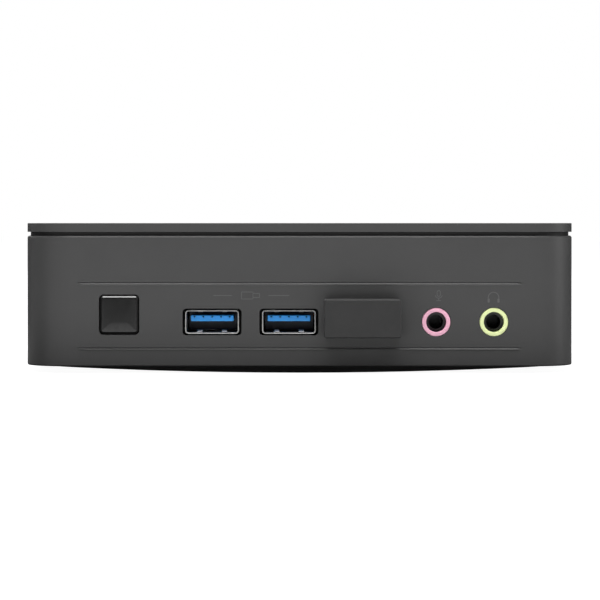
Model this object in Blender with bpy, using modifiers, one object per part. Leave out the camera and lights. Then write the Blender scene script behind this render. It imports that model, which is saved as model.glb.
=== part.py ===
"""A small desktop computer in a moulded case, as separate parts. Metres, +Z up, front towards -Y.

The origin is on the table, under the middle of the whole object with its dongle cap.
"""

from math import cos, pi, radians, sin

import bmesh
import bpy
from mathutils import Matrix, Vector

MM = 0.001
GAP = 0.3 * MM  # kept between pieces that touch on the real object
OVER = 1 * MM  # how far a cutter runs past the face it opens, and a joined piece into its neighbour

# Case
WIDTH = 135 * MM
DEPTH = 115 * MM
HEIGHT = 36.8 * MM
CORNER = 12 * MM
WALL = 2.4 * MM
CAP_PROUD = 8 * MM
FRONT = (CAP_PROUD - DEPTH) / 2  # the front face's y
BACK = FRONT + DEPTH
MIDDLE_Y = (FRONT + BACK) / 2
SHELL_LOW = 1.75 * MM
SHELL_HIGH = 33.7 * MM
LID_LOW = 34.55 * MM
NECK_INSET = 0.8 * MM
CROWN_LOW = 0.1 * MM
CROWN_RADIUS = 1150 * MM
CROWN_STRIPS = 14
GROOVE_ZS = (22.1 * MM, 6.2 * MM)
GROOVE_REACH = 54 * MM
VENTS, VENT_PITCH, VENT_LOW, VENT_HIGH = 16, 4.2 * MM, 9.5 * MM, 18.5 * MM
CORNER_STEPS = 8
ROUND_STEPS = 32

# Circuit board and the row of front connectors
BOARD_LOW = 7.7 * MM
BOARD_HIGH = 9.3 * MM
BOARD_HALF_WIDTH = 56 * MM
BOARD_FRONT = FRONT + 4 * MM
BOARD_BACK = BACK - 5 * MM
PORT_Z = 12.6 * MM
BUTTON_X, BUTTON_Z = -44.1 * MM, 14.4 * MM
USB_LEFT_X, USB_RIGHT_X = -21.4 * MM, -2.6 * MM
CAP_X, CAP_Z = 15.2 * MM, 13.78 * MM
HIDDEN_USB_Z = 13.2 * MM
JACK_XS = (33.4 * MM, 47.5 * MM)

# Rear connectors, by the x of their centres
REAR_MOUTH = BACK - 1.1 * MM
INLET_X, HDMI_X, DISPLAY_X, LAN_X = 47 * MM, 31.5 * MM, 12.5 * MM, -8 * MM
INLET_Z = 14.9 * MM
STACK_XS = (-26.5 * MM, -43.5 * MM)
STACK_ZS = (13.1 * MM, 21.7 * MM)

# Cooling
FAN_X, FAN_Y = 8 * MM, 2 * MM
FAN_LOW, FAN_HIGH = 23.4 * MM, 31.6 * MM
FAN_RADIUS = 24.5 * MM
FIN_XS = (-19 * MM, 42 * MM)
FIN_LOW = 23.6 * MM

# Storage drive and the screw at its far end
SSD_X, SSD_SCREW_Y = 37 * MM, 44.6 * MM

# Supports and fastenings
FRONT_FEET_Y, REAR_FEET_Y = -24 * MM, 40 * MM
FEET_X, FOOT_RADIUS, FOOT_HEIGHT = 42 * MM, 6 * MM, 1.2 * MM
LEDGE_YS = (-18 * MM, 26 * MM)
HOOK_X, HOOK_DY = 48 * MM, 50 * MM
POST_LOW, POST_HIGH, POST_RADIUS = 4.8 * MM, 26 * MM, 3.6 * MM
SCREW_HEAD_LOW, SCREW_HEAD_HIGH, SCREW_HEAD_RADIUS = 1.9 * MM, 3.1 * MM, 2.8 * MM
SCREW_X = WIDTH / 2 - CORNER
SCREW_DY = DEPTH / 2 - CORNER


# ---------------------------------------------------------------- helpers


def collection(name):
    made = bpy.data.collections.new(name)
    bpy.context.scene.collection.children.link(made)
    return made


def clear_scene():
    for obj in list(bpy.data.objects):
        bpy.data.objects.remove(obj)


def material(name, colour, roughness, metallic=0.0):
    made = bpy.data.materials.new(name)
    made.use_nodes = True
    shader = made.node_tree.nodes["Principled BSDF"]
    shader.inputs["Base Color"].default_value = (*colour, 1)
    shader.inputs["Roughness"].default_value = roughness
    shader.inputs["Metallic"].default_value = metallic
    return made


def object_of(name, mesh, where=(0, 0, 0)):
    """A new part at `where`."""
    obj = bpy.data.objects.new(name, mesh)
    obj.location = where
    PARTS.objects.link(obj)
    return obj


def mesh_of(name, bm):
    mesh = bpy.data.meshes.new(name)
    bm.to_mesh(mesh)
    bm.free()
    mesh.shade_smooth()
    mesh.set_sharp_from_angle(angle=radians(30))
    return mesh


def block(name, low, high, corner=0.0, along=2, steps=CORNER_STEPS, where=(0, 0, 0)):
    """A box from corner `low` to corner `high`, its edges along one axis rounded to `corner`."""
    low, high = Vector(low), Vector(high)
    size = high - low
    bm = bmesh.new()
    place = Matrix.Translation((low + high) / 2) @ Matrix.Diagonal((*size, 1))
    bmesh.ops.create_cube(bm, size=1, matrix=place)
    if corner:
        across = [i for i in range(3) if i != along]
        edges = [e for e in bm.edges if all(
            abs(e.verts[0].co[i] - e.verts[1].co[i]) < 1e-9 for i in across)]
        bmesh.ops.bevel(bm, geom=edges, offset=corner, segments=steps, profile=0.5,
                        affect="EDGES")
    return object_of(name, mesh_of(name, bm), where)


def case_block(name, inset, low, high, crowned=()):
    """A block of the case's outline, moved in by `inset`. Levels in `crowned` bow down in the middle."""
    x, y = WIDTH / 2 - inset, DEPTH / 2 - inset
    obj = block(name, (-x, MIDDLE_Y - y, low), (x, MIDDLE_Y + y, high), CORNER - inset)
    if crowned:
        bm = bmesh.new()
        bm.from_mesh(obj.data)
        for i in range(1, CROWN_STRIPS):
            at = Vector((-x + 2 * x * i / CROWN_STRIPS, 0, 0))
            bmesh.ops.bisect_plane(bm, geom=bm.verts[:] + bm.edges[:] + bm.faces[:],
                                   plane_co=at, plane_no=(1, 0, 0))
        for v in bm.verts:
            if any(abs(v.co.z - level) < 1e-6 for level in crowned):
                v.co.z += v.co.x ** 2 / (2 * CROWN_RADIUS)
        bm.to_mesh(obj.data)
        bm.free()
    return obj


def rod(name, centre, radius, length, along=2, steps=ROUND_STEPS, where=(0, 0, 0)):
    """A cylinder centred on `centre`."""
    turn = (Matrix.Rotation(pi / 2, 4, "Y"), Matrix.Rotation(-pi / 2, 4, "X"), Matrix())[along]
    bm = bmesh.new()
    bmesh.ops.create_cone(bm, cap_ends=True, segments=steps, radius1=radius, radius2=radius,
                          depth=length, matrix=Matrix.Translation(centre) @ turn)
    return object_of(name, mesh_of(name, bm), where)


def turned(name, profile, where, closed=False, steps=ROUND_STEPS):
    """A body of revolution about Z. The profile's (radius, z) points run down its outer side."""
    bm = bmesh.new()
    points = [bm.verts.new((r, 0, z)) for r, z in profile]
    for a, b in zip(points, points[1:]):
        bm.edges.new((a, b))
    if closed:
        bm.edges.new((points[-1], points[0]))
    obj = object_of(name, mesh_of(name, bm), where)
    screw = obj.modifiers.new("turn", "SCREW")
    screw.steps = screw.render_steps = steps
    screw.use_merge_vertices = True
    screw.merge_threshold = 1e-6
    screw.use_smooth_shade = True
    return obj


def helper(obj, part):
    """Takes an object out of the parts and makes it follow `part`, as a cutter or a tool."""
    PARTS.objects.unlink(obj)
    CUTTERS.objects.link(obj)
    obj.parent = part
    obj.hide_render = True
    obj.display_type = "WIRE"


def boolean(part, tool, operation):
    helper(tool, part)
    change = part.modifiers.new(tool.name, "BOOLEAN")
    change.operation = operation
    change.object = tool
    change.solver = "EXACT"


def cut(part, *tools):
    for tool in tools:
        boolean(part, tool, "DIFFERENCE")


def join(part, *tools):
    for tool in tools:
        boolean(part, tool, "UNION")


def many(name, boxes):
    """Separate boxes in one mesh, each given by two corners: a comb of cutters or of ribs."""
    bm = bmesh.new()
    for low, high in boxes:
        low, high = Vector(low), Vector(high)
        place = Matrix.Translation((low + high) / 2) @ Matrix.Diagonal((*(high - low), 1))
        bmesh.ops.create_cube(bm, size=1, matrix=place)
    return object_of(name, mesh_of(name, bm))


def paint(shade, *parts):
    for part in parts:
        part.data.materials.append(shade)


def empty(name, where):
    made = bpy.data.objects.new(name, None)
    made.location = where
    PARTS.objects.link(made)
    return made


def hang(part, parent):
    """Parents a part to an empty and keeps its place."""
    part.parent = parent
    part.location = Vector(part.location) - parent.location


# ---------------------------------------------------------------- case


def case_shell():
    """The moulded ring of walls, with the front openings, side vents and rear window."""
    shell = case_block("case_shell", 0, SHELL_LOW, SHELL_HIGH)
    cut(shell, case_block("shell_hollow", WALL, SHELL_LOW - OVER, SHELL_HIGH + OVER))
    rebate_inset, rebate_depth = 0.5 * MM, 1.0 * MM
    cut(shell, case_block("shell_rebate", rebate_inset, SHELL_HIGH - rebate_depth, SHELL_HIGH + OVER))
    join(shell, *corner_posts(), *board_ledges())
    hole_radius, hole_depth = 1.25 * MM, 9.2 * MM
    for i, (x, y) in enumerate(corner_spots()):
        cut(shell, rod(f"post_hole_{i}", (x, y, POST_LOW + (hole_depth - OVER) / 2), hole_radius,
                       hole_depth + OVER, steps=16))

    def front_window(name, x, z, width, height, corner):
        return block(name, (x - width / 2, FRONT - OVER, z - height / 2),
                     (x + width / 2, FRONT + WALL + OVER, z + height / 2), corner, along=1, steps=4)

    button_clear, jack_radius = 9.75 * MM, 3.8 * MM
    usb_clear, cap_clear = (14.2 * MM, 6.5 * MM), (17.6 * MM, 8.8 * MM)
    cut(shell, front_window("button_window", BUTTON_X, BUTTON_Z, button_clear, button_clear, 1.1 * MM))
    for x in (USB_LEFT_X, USB_RIGHT_X):
        cut(shell, front_window(f"usb_window_{x:.3f}", x, PORT_Z, *usb_clear, 0.9 * MM))
    cut(shell, front_window("cap_window", CAP_X, CAP_Z, *cap_clear, 1.2 * MM))
    for x in JACK_XS:
        cut(shell, rod(f"jack_window_{x:.3f}", (x, FRONT, PORT_Z), jack_radius, 8 * MM, along=1))
    cut(shell, front_grooves(), *side_vents(), *rear_openings())
    paint(GREY_PLASTIC, shell)


def front_grooves():
    """Two fine level lines across the front face."""
    depth, half = 0.35 * MM, 0.3 * MM
    return many("front_grooves", [
        ((-GROOVE_REACH, FRONT - OVER, z - half), (GROOVE_REACH, FRONT + depth, z + half))
        for z in GROOVE_ZS])


def side_vents():
    """A row of upright slots in each side wall, and the lock slot in the left one."""
    half_slot = 1.0 * MM
    ys = [MIDDLE_Y + (i - (VENTS - 1) / 2) * VENT_PITCH for i in range(VENTS)]
    made = []
    for side in (-1, 1):
        wall = sorted((side * (WIDTH / 2 - WALL - OVER), side * (WIDTH / 2 + OVER)))
        made.append(many(f"side_vents_{side}", [
            ((wall[0], y - half_slot, VENT_LOW), (wall[1], y + half_slot, VENT_HIGH)) for y in ys]))
    lock_ys, lock_zs = (46 * MM, 53 * MM), (22 * MM, 25.2 * MM)
    made.append(block("lock_window", (-WIDTH / 2 - OVER, lock_ys[0], lock_zs[0]),
                      (-WIDTH / 2 + WALL + OVER, lock_ys[1], lock_zs[1]), 0.8 * MM, along=0, steps=4))
    return made


def rear_openings():
    """The wide window in the rear wall, and inside it the rebate that the steel panel lies in."""
    half, low, high = 54 * MM, 5 * MM, 31 * MM
    lap, panel_back = (1.4 * MM, 0.8 * MM), BACK - 1.2 * MM
    inside = BACK - WALL - OVER
    return [block("rear_window", (-half, inside, low), (half, BACK + OVER, high)),
            block("rear_rebate", (-half - lap[0], inside, low - lap[1]),
                  (half + lap[0], panel_back, high + lap[1]))]


def corner_spots():
    return [(sx * SCREW_X, MIDDLE_Y + sy * SCREW_DY) for sy in (-1, 1) for sx in (-1, 1)]


def corner_posts():
    """Screw posts at the corners' centres, each tied to its walls by two webs."""
    made = []
    half_web = 0.8 * MM
    web_low, web_high = POST_LOW + MM, POST_HIGH - MM
    into_wall = CORNER - 1.5 * MM
    for i, (x, y) in enumerate(corner_spots()):
        out_x = x + into_wall * (1 if x > 0 else -1)
        out_y = y + into_wall * (1 if y > MIDDLE_Y else -1)
        made.append(rod(f"post_{i}", (x, y, (POST_LOW + POST_HIGH) / 2), POST_RADIUS,
                        POST_HIGH - POST_LOW, steps=24))
        xs, ys = sorted((x, out_x)), sorted((y, out_y))
        made.append(block(f"web_x_{i}", (xs[0], y - half_web, web_low), (xs[1], y + half_web, web_high)))
        made.append(block(f"web_y_{i}", (x - half_web, ys[0], web_low), (x + half_web, ys[1], web_high)))
    return made


def board_ledges():
    """Four shelves on the side walls that the circuit board lies on."""
    half_length, thickness, reach = 4 * MM, 2 * MM, 54.5 * MM
    high = BOARD_LOW - GAP
    made = []
    for side in (-1, 1):
        xs = sorted((side * reach, side * (WIDTH / 2 - 1.5 * MM)))
        for y in LEDGE_YS:
            made.append(block(f"ledge_{side}_{y:.3f}", (xs[0], y - half_length, high - thickness),
                              (xs[1], y + half_length, high)))
    return made


def top_lid():
    """The lid: a shallow tray upside down, with four hooks that snap into the frame below."""
    lid = case_block("top_lid", 0, LID_LOW, HEIGHT)
    bevel = lid.modifiers.new("edge", "BEVEL")
    bevel.width = 0.35 * MM
    bevel.segments = 2
    bevel.limit_method = "ANGLE"
    bevel.angle_limit = radians(60)
    rim, hollow = 3.5 * MM, 1.0 * MM
    cut(lid, case_block("lid_hollow", rim, LID_LOW - OVER, LID_LOW + hollow))
    half_x, half_y, drop = 4 * MM, 0.6 * MM, 2.4 * MM
    for i, (x, y) in enumerate(hook_spots()):
        join(lid, block(f"hook_{i}", (x - half_x, y - half_y, LID_LOW - drop),
                        (x + half_x, y + half_y, LID_LOW + 1.5 * MM)))
    paint(GREY_PLASTIC, lid)


def hook_spots():
    return [(sx * HOOK_X, MIDDLE_Y + sy * HOOK_DY) for sy in (-1, 1) for sx in (-1, 1)]


def upper_frame():
    """The dark inner frame. Its edge is the neck between lid and case, and its posts hold the board down."""
    low, high = SHELL_HIGH - 0.7 * MM, LID_LOW - GAP
    frame = case_block("upper_frame", NECK_INSET, low, high)
    inlet_radius = 20 * MM
    cut(frame, rod("frame_inlet", (FAN_X, FAN_Y, low), inlet_radius, 6 * MM, steps=48))
    half_x, half_y = 4.6 * MM, 1.2 * MM
    for i, (x, y) in enumerate(hook_spots()):
        cut(frame, block(f"hook_slot_{i}", (x - half_x, y - half_y, low - OVER),
                         (x + half_x, y + half_y, high + OVER)))
    post_x, post_radius = 52 * MM, 2.6 * MM
    foot, head = BOARD_HIGH + GAP, high - MM
    for i, (x, y) in enumerate([(sx * post_x, y) for sx in (-1, 1) for y in LEDGE_YS]):
        join(frame, rod(f"frame_post_{i}", (x, y, (foot + head) / 2), post_radius, head - foot, steps=16))
    paint(BLACK_PLASTIC, frame)


def bottom_cover():
    """The crowned cover: a tray whose underside is part of a wide cylinder lying front to back."""
    inset, sheet, rim, rim_high = WALL + 0.4 * MM, 1.2 * MM, 1.3 * MM, 4.2 * MM
    cover = case_block("bottom_cover", inset, CROWN_LOW, rim_high, crowned=(CROWN_LOW,))
    floor = CROWN_LOW + sheet
    cut(cover, case_block("cover_hollow", inset + rim, floor, rim_high + OVER, crowned=(floor,)))

    def upright(name, x, y, low, high, radius, steps=24):
        return rod(name, (x, y, (low + high) / 2), radius, high - low, steps=steps)

    boss_low, boss_high, seat_high = 2 * MM, POST_LOW - GAP, SCREW_HEAD_HIGH + GAP
    boss_radius, hole_radius, seat_radius = 4.2 * MM, 1.8 * MM, SCREW_HEAD_RADIUS + 0.4 * MM
    for i, (x, y) in enumerate(corner_spots()):
        join(cover, upright(f"cover_boss_{i}", x, y, boss_low, boss_high, boss_radius))
        cut(cover, upright(f"cover_hole_{i}", x, y, -OVER, boss_high + OVER, hole_radius, 16))
        cut(cover, upright(f"cover_seat_{i}", x, y, -OVER, seat_high, seat_radius))
    for i, (x, y) in enumerate(feet_spots()):
        cut(cover, upright(f"foot_seat_{i}", x, y, -OVER, FOOT_HEIGHT + GAP, FOOT_RADIUS + GAP, ROUND_STEPS))
    slots, pitch, half_x, half_y = 15, 5 * MM, 1.1 * MM, 4.5 * MM
    xs = [(i - (slots - 1) / 2) * pitch for i in range(slots)]
    for row, y in enumerate((2 * MM, 14 * MM)):
        cut(cover, many(f"cover_vents_{row}", [
            ((x - half_x, y - half_y, -OVER), (x + half_x, y + half_y, 3.4 * MM)) for x in xs]))
    paint(BLACK_METAL, cover)


def feet_spots():
    return [(sx * FEET_X, y) for y in (FRONT_FEET_Y, REAR_FEET_Y) for sx in (-1, 1)]


def feet():
    names = ("foot_front_left", "foot_front_right", "foot_rear_left", "foot_rear_right")
    bevel = 0.5 * MM
    profile = [(0, FOOT_HEIGHT), (FOOT_RADIUS, FOOT_HEIGHT), (FOOT_RADIUS, bevel),
               (FOOT_RADIUS - bevel, 0), (0, 0)]
    for name, (x, y) in zip(names, feet_spots()):
        paint(RUBBER, turned(name, profile, (x, y, 0)))


def cover_screws():
    """The four captive screws: a pan head in the cover's seat and a shank up into the post."""
    names = ("cover_screw_front_left", "cover_screw_front_right",
             "cover_screw_rear_left", "cover_screw_rear_right")
    low, high, radius, tip, shank = SCREW_HEAD_LOW, SCREW_HEAD_HIGH, SCREW_HEAD_RADIUS, 11.5 * MM, 0.95 * MM
    profile = [(0, tip), (shank - 0.25 * MM, tip), (shank, tip - 0.6 * MM), (shank, high),
               (radius - 0.1 * MM, high), (radius, low + 0.5 * MM), (radius - 0.7 * MM, low), (0, low)]
    arm, half_slot, deep = 1.5 * MM, 0.3 * MM, low + 0.8 * MM
    for name, (x, y) in zip(names, corner_spots()):
        screw = turned(name, profile, (x, y, 0), steps=24)
        cut(screw, many(f"{name}_drive", [((-arm, -half_slot, 0), (arm, half_slot, deep))]),
            many(f"{name}_drive_across", [((-half_slot, -arm, 0), (half_slot, arm, deep))]))
        paint(STEEL, screw)


def rear_panel():
    """The sheet-steel panel with the connector openings and the exhaust grille."""
    front_y, back_y = BACK - 2.5 * MM, BACK - 1.5 * MM
    half, low, high = 55 * MM, 4.5 * MM, 31.5 * MM
    panel = block("rear_panel", (-half, front_y, low), (half, back_y, high))
    # Each opening's centre x and z, width and height: the connector and 0.3 to 0.5 mm all round
    openings = [(HDMI_X, 12.65 * MM, 16 * MM, 6.7 * MM), (DISPLAY_X, 12.65 * MM, 18 * MM, 6.7 * MM),
                (LAN_X, 16.35 * MM, 16.8 * MM, 14.1 * MM)]
    openings += [(x, sum(STACK_ZS) / 2, 14.1 * MM, 16.4 * MM) for x in STACK_XS]
    for i, (x, z, width, height) in enumerate(openings):
        cut(panel, block(f"panel_opening_{i}", (x - width / 2, front_y - OVER, z - height / 2),
                         (x + width / 2, back_y + OVER, z + height / 2), 0.6 * MM, along=1, steps=3))
    cut(panel, rod("inlet_opening", (INLET_X, back_y, INLET_Z), 4.3 * MM, 4 * MM, along=1))
    slots, pitch, half_slot, slot_low, slot_high = 17, 3.7 * MM, 1.2 * MM, 24.8 * MM, 30.4 * MM
    first = (FIN_XS[0] + FIN_XS[1]) / 2 - (slots - 1) / 2 * pitch
    cut(panel, many("exhaust_slots", [
        ((first + i * pitch - half_slot, front_y - OVER, slot_low),
         (first + i * pitch + half_slot, back_y + OVER, slot_high)) for i in range(slots)]))
    paint(BLACK_METAL, panel)


# ---------------------------------------------------------------- front controls


def power_button():
    """The square key with a flange that keeps it in, the switch behind it and the switch's plunger."""
    where = (BUTTON_X, FRONT, BUTTON_Z)
    slide = empty("power_button_slide", where)
    half, proud, deep = 4.6 * MM, 0.25 * MM, 3.0 * MM
    key = block("power_button", (-half, -proud, -half), (half, deep, half), 0.9 * MM, along=1, steps=4,
                where=where)
    flange, flange_front, flange_thickness = 5.4 * MM, WALL + GAP, 0.8 * MM
    join(key, block("button_flange", (-flange, flange_front, -flange),
                    (flange, flange_front + flange_thickness, flange)))
    stem, stem_end = 1.5 * MM, 8.2 * MM
    join(key, block("button_stem", (-stem, 2 * MM, -stem), (stem, stem_end, stem)))
    hollow, hollow_high = 3.4 * MM, -1.9 * MM
    cut(key, block("button_hollow", (-hollow, 1.2 * MM, -hollow), (hollow, 4.6 * MM, hollow_high)))
    hang(key, slide)
    paint(BLACK_GLOSS, key)

    plunger_radius, plunger_length, plunger_middle = 1.0 * MM, 3 * MM, 10 * MM
    plunger = rod("switch_plunger", (0, plunger_middle, 0), plunger_radius, plunger_length, along=1,
                  steps=20, where=where)
    hang(plunger, slide)
    paint(BLACK_PLASTIC, plunger)

    switch_half, switch_front, switch_back = 3 * MM, FRONT + 9.6 * MM, FRONT + 13.6 * MM
    switch = block("power_switch", (BUTTON_X - switch_half, switch_front, BOARD_HIGH + GAP),
                   (BUTTON_X + switch_half, switch_back, BUTTON_Z + switch_half))
    bore_depth = 3 * MM
    cut(switch, rod("plunger_bore", (BUTTON_X, switch_front + (bore_depth - OVER) / 2, BUTTON_Z),
                    plunger_radius + GAP, bore_depth + OVER, along=1, steps=20))
    paint(STEEL, switch)


def dongle_cap():
    """The soft cap over the third USB socket: a hollow box with a collar that plugs into the case."""
    half_x, half_z, face = 9.43 * MM, 4.85 * MM, 1.3 * MM
    collar_x, collar_z, collar_end = 8.5 * MM, 4.1 * MM, 2.1 * MM
    pocket_x, pocket_z = 7.5 * MM, 3.3 * MM
    cap = block("dongle_cap", (-half_x, -CAP_PROUD, -half_z), (half_x, -GAP, half_z),
                0.5 * MM, along=1, steps=3, where=(CAP_X, FRONT, CAP_Z))
    join(cap, block("cap_collar", (-collar_x, -OVER, -collar_z), (collar_x, collar_end, collar_z),
                    0.9 * MM, along=1, steps=3))
    cut(cap, block("cap_pocket", (-pocket_x, -CAP_PROUD + face, -pocket_z),
                   (pocket_x, collar_end + OVER, pocket_z)))
    hang(cap, empty("dongle_cap_slide", (CAP_X, FRONT, CAP_Z)))
    paint(RUBBER, cap)


# ---------------------------------------------------------------- connectors, mouth at y = 0, facing -Y

USB_OUTER = (13.3 * MM, 5.95 * MM)
USB_INNER = (12.5 * MM, 5.15 * MM)
USB_LENGTH = 17 * MM
TONGUE_HALF = 5.55 * MM
TONGUE_LOW, TONGUE_HIGH = 0.0 * MM, 1.84 * MM  # above the socket's centre


def usb_single(name, x, z, mouth_y, tongue):
    where = (x, mouth_y, z)
    shell = usb_tube(f"{name}_shell", USB_OUTER[1], (0,), where)
    paint(STEEL, shell)
    insert = usb_insert(f"{name}_insert", (0,), where)
    paint(tongue, insert)


def usb_tube(name, height, centres, where):
    """A drawn steel shell with one opening for each centre, and two spring tabs on each floor."""
    width = USB_OUTER[0]
    shell = block(name, (-width / 2, 0, -height / 2), (width / 2, USB_LENGTH, height / 2),
                  0.8 * MM, along=1, steps=3, where=where)
    for i, z in enumerate(centres):
        cut(shell, block(f"{name}_opening_{i}", (-USB_INNER[0] / 2, -OVER, z - USB_INNER[1] / 2),
                         (USB_INNER[0] / 2, USB_LENGTH + OVER, z + USB_INNER[1] / 2),
                         0.5 * MM, along=1, steps=3))
    return shell


def usb_insert(name, centres, where):
    """The insulator: a rear block that fills each opening's end, with a tongue reaching forward."""
    block_front, tongue_front, base_thickness = 12.5 * MM, 1.2 * MM, 1.4 * MM
    half_x, half_z = USB_INNER[0] / 2 - GAP, USB_INNER[1] / 2 - GAP
    back = USB_LENGTH + GAP
    low, high = min(centres) - half_z, max(centres) + half_z
    insert = block(name, (-half_x, back, low), (half_x, back + base_thickness, high), where=where)
    for i, z in enumerate(centres):
        plug = block(f"{name}_block_{i}", (-half_x, block_front, z - half_z),
                     (half_x, back + base_thickness / 2, z + half_z))
        tongue = block(f"{name}_tongue_{i}", (-TONGUE_HALF, tongue_front, z + TONGUE_LOW),
                       (TONGUE_HALF, block_front + OVER, z + TONGUE_HIGH))
        join(insert, plug, tongue)
    return insert


def turn_round(*parts):
    """Faces a connector to the rear."""
    for part in parts:
        part.rotation_euler = (0, 0, pi)


def usb_stack(name, x, tongue):
    """Two sockets, one over the other, in one shell."""
    middle = sum(STACK_ZS) / 2
    where = (x, REAR_MOUTH, middle)
    centres = [z - middle for z in STACK_ZS]
    shell = usb_tube(f"{name}_shell", 15.6 * MM, centres, where)
    insert = usb_insert(f"{name}_insert", centres, where)
    turn_round(shell, insert)
    paint(STEEL, shell)
    paint(tongue, insert)


def prism(name, outline, front_y, back_y, where=(0, 0, 0)):
    """An (x, z) outline, given anticlockwise from the front, carried from `front_y` to `back_y`."""
    bm = bmesh.new()
    face = bm.faces.new([bm.verts.new((x, front_y, z)) for x, z in outline])
    grown = bmesh.ops.extrude_face_region(bm, geom=[face])["geom"]
    bmesh.ops.translate(bm, vec=(0, back_y - front_y, 0),
                        verts=[v for v in grown if isinstance(v, bmesh.types.BMVert)])
    bmesh.ops.recalc_face_normals(bm, faces=bm.faces[:])
    return object_of(name, mesh_of(name, bm), where)


def video_outline(width, height, left_cut, right_cut):
    """A flat socket's section: a rectangle with one or both lower corners cut."""
    x, z = width / 2, height / 2
    outline = [(x, z), (-x, z)]
    for side, size in ((-1, left_cut), (1, right_cut)):
        corner = [(side * x, size - z), (side * (x - size), -z)] if size else [(side * x, -z)]
        outline += corner if side < 0 else corner[::-1]
    return outline


def flat_video_port(name, x, outer, inner, tongue_size, cuts):
    """A flat digital video socket: a steel shell with cut corners and a thin tongue inside."""
    where = (x, REAR_MOUTH, BOARD_HIGH + GAP + outer[1] / 2)
    length, back_wall, tongue_front = 12 * MM, 1.2 * MM, 1.5 * MM
    shell = prism(f"{name}_shell", video_outline(*outer, *cuts), 0, length, where)
    cut(shell, prism(f"{name}_opening", video_outline(*inner, *cuts), -OVER, length - back_wall))
    half_x, half_z = tongue_size[0] / 2, tongue_size[1] / 2
    tongue = block(f"{name}_tongue", (-half_x, tongue_front, -half_z),
                   (half_x, length - back_wall - GAP, half_z), where=where)
    turn_round(shell, tongue)
    paint(STEEL, shell)
    paint(BLACK_PLASTIC, tongue)


def lan_port():
    """The network socket: a shielded box with a stepped opening for the plug and its latch."""
    half, tall, length = 8 * MM, 13.5 * MM, 20 * MM
    base = BOARD_HIGH + GAP
    box = block("lan_port", (-half, 0, 0), (half, length, tall), where=(LAN_X, REAR_MOUTH, base))
    low, plug_half, plug_tall, plug_deep = 3.4 * MM, 5.95 * MM, 7.6 * MM, 14 * MM
    latch_half, latch_tall, latch_deep = 3.1 * MM, 2.0 * MM, 9 * MM
    cut(box, block("lan_opening", (-plug_half, -OVER, low), (plug_half, plug_deep, low + plug_tall)))
    cut(box, block("lan_latch", (-latch_half, -OVER, low - latch_tall), (latch_half, latch_deep, low + OVER)))
    turn_round(box)
    paint(STEEL, box)


def power_inlet():
    """The barrel inlet with its centre pin."""
    where = (INLET_X, REAR_MOUTH, INLET_Z)
    half, nose_length, length, top = 4.5 * MM, 1.8 * MM, 14 * MM, 5.4 * MM
    nose_radius, bore_radius, bore_depth = 3.95 * MM, 3.15 * MM, 9 * MM
    pin_radius, pin_front, pin_back = 1.2 * MM, 1.3 * MM, 8.7 * MM
    body = block("power_inlet", (-half, nose_length, BOARD_HIGH + GAP - INLET_Z), (half, length, top),
                 where=where)
    join(body, rod("inlet_nose", (0, nose_length, 0), nose_radius, 2 * nose_length, along=1))
    cut(body, rod("inlet_bore", (0, (bore_depth - OVER) / 2, 0), bore_radius, bore_depth + OVER, along=1))
    pin = rod("power_inlet_pin", (0, (pin_front + pin_back) / 2, 0), pin_radius, pin_back - pin_front,
              along=1, steps=20, where=where)
    turn_round(body, pin)
    paint(BLACK_PLASTIC, body)
    paint(STEEL, pin)


def audio_jack(name, x, ring_shade):
    """A 3.5 mm jack: a black body on the board and a coloured ring in the case's hole."""
    half, body_front, body_back, top = 3.5 * MM, 3 * MM, 15 * MM, 3.1 * MM
    bore_radius, bore_end = 1.8 * MM, 13 * MM
    body = block(f"{name}_jack", (-half, body_front, BOARD_HIGH + GAP - PORT_Z), (half, body_back, top),
                 where=(x, FRONT, PORT_Z))
    cut(body, rod(f"{name}_bore", (0, (OVER + bore_end) / 2, 0), bore_radius, bore_end - OVER, along=1,
                  steps=24))
    paint(BLACK_PLASTIC, body)
    # The ring is turned about Z, then tipped so that its front faces -Y.
    front, back, outer, inner = -0.1 * MM, -2.7 * MM, 3.5 * MM, 2.35 * MM
    ring = turned(f"{name}_ring", [(inner, front), (outer, front), (outer, back), (inner, back)],
                  (x, FRONT, PORT_Z), closed=True)
    ring.rotation_euler = (pi / 2, 0, 0)
    paint(ring_shade, ring)


# ---------------------------------------------------------------- circuit board and what is on it


def motherboard():
    """The board, notched round the screw posts, with its larger soldered parts."""
    half = BOARD_HALF_WIDTH
    board = block("motherboard", (-half, BOARD_FRONT, BOARD_LOW), (half, BOARD_BACK, BOARD_HIGH))
    notch_x, notch_y = 51.4 * MM, SCREW_DY - 4.4 * MM
    for i, (x, y) in enumerate(corner_spots()):
        sx, sy = (1 if x > 0 else -1), (1 if y > MIDDLE_Y else -1)
        xs = sorted((sx * notch_x, sx * 60 * MM))
        ys = sorted((MIDDLE_Y + sy * notch_y, MIDDLE_Y + sy * 60 * MM))
        cut(board, block(f"board_notch_{i}", (xs[0], ys[0], 0), (xs[1], ys[1], 20 * MM)))
    # Chokes and chips: left, front, width, depth and height above the board, in millimetres
    soldered = [(-46 + i * 8, 14, 6, 6, 3) for i in range(4)]
    soldered += [(-48, -6, 10, 10, 1.1), (40, -20, 7, 7, 1), (34, 10, 12, 8, 1.2), (-12, 28, 8, 8, 0.9)]
    low = BOARD_HIGH - 0.2 * MM
    join(board, many("board_parts", [
        ((x * MM, y * MM, low), ((x + width) * MM, (y + depth) * MM, BOARD_HIGH + tall * MM))
        for x, y, width, depth, tall in soldered]))
    join(board, rod("ssd_standoff", (SSD_X, SSD_SCREW_Y, BOARD_LOW - 0.5 * MM), 2.6 * MM, 1.6 * MM, steps=20))
    cut(board, rod("standoff_hole", (SSD_X, SSD_SCREW_Y, 7 * MM), 1.5 * MM, 3 * MM, steps=16))
    paint(BOARD_GREEN, board)


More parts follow.
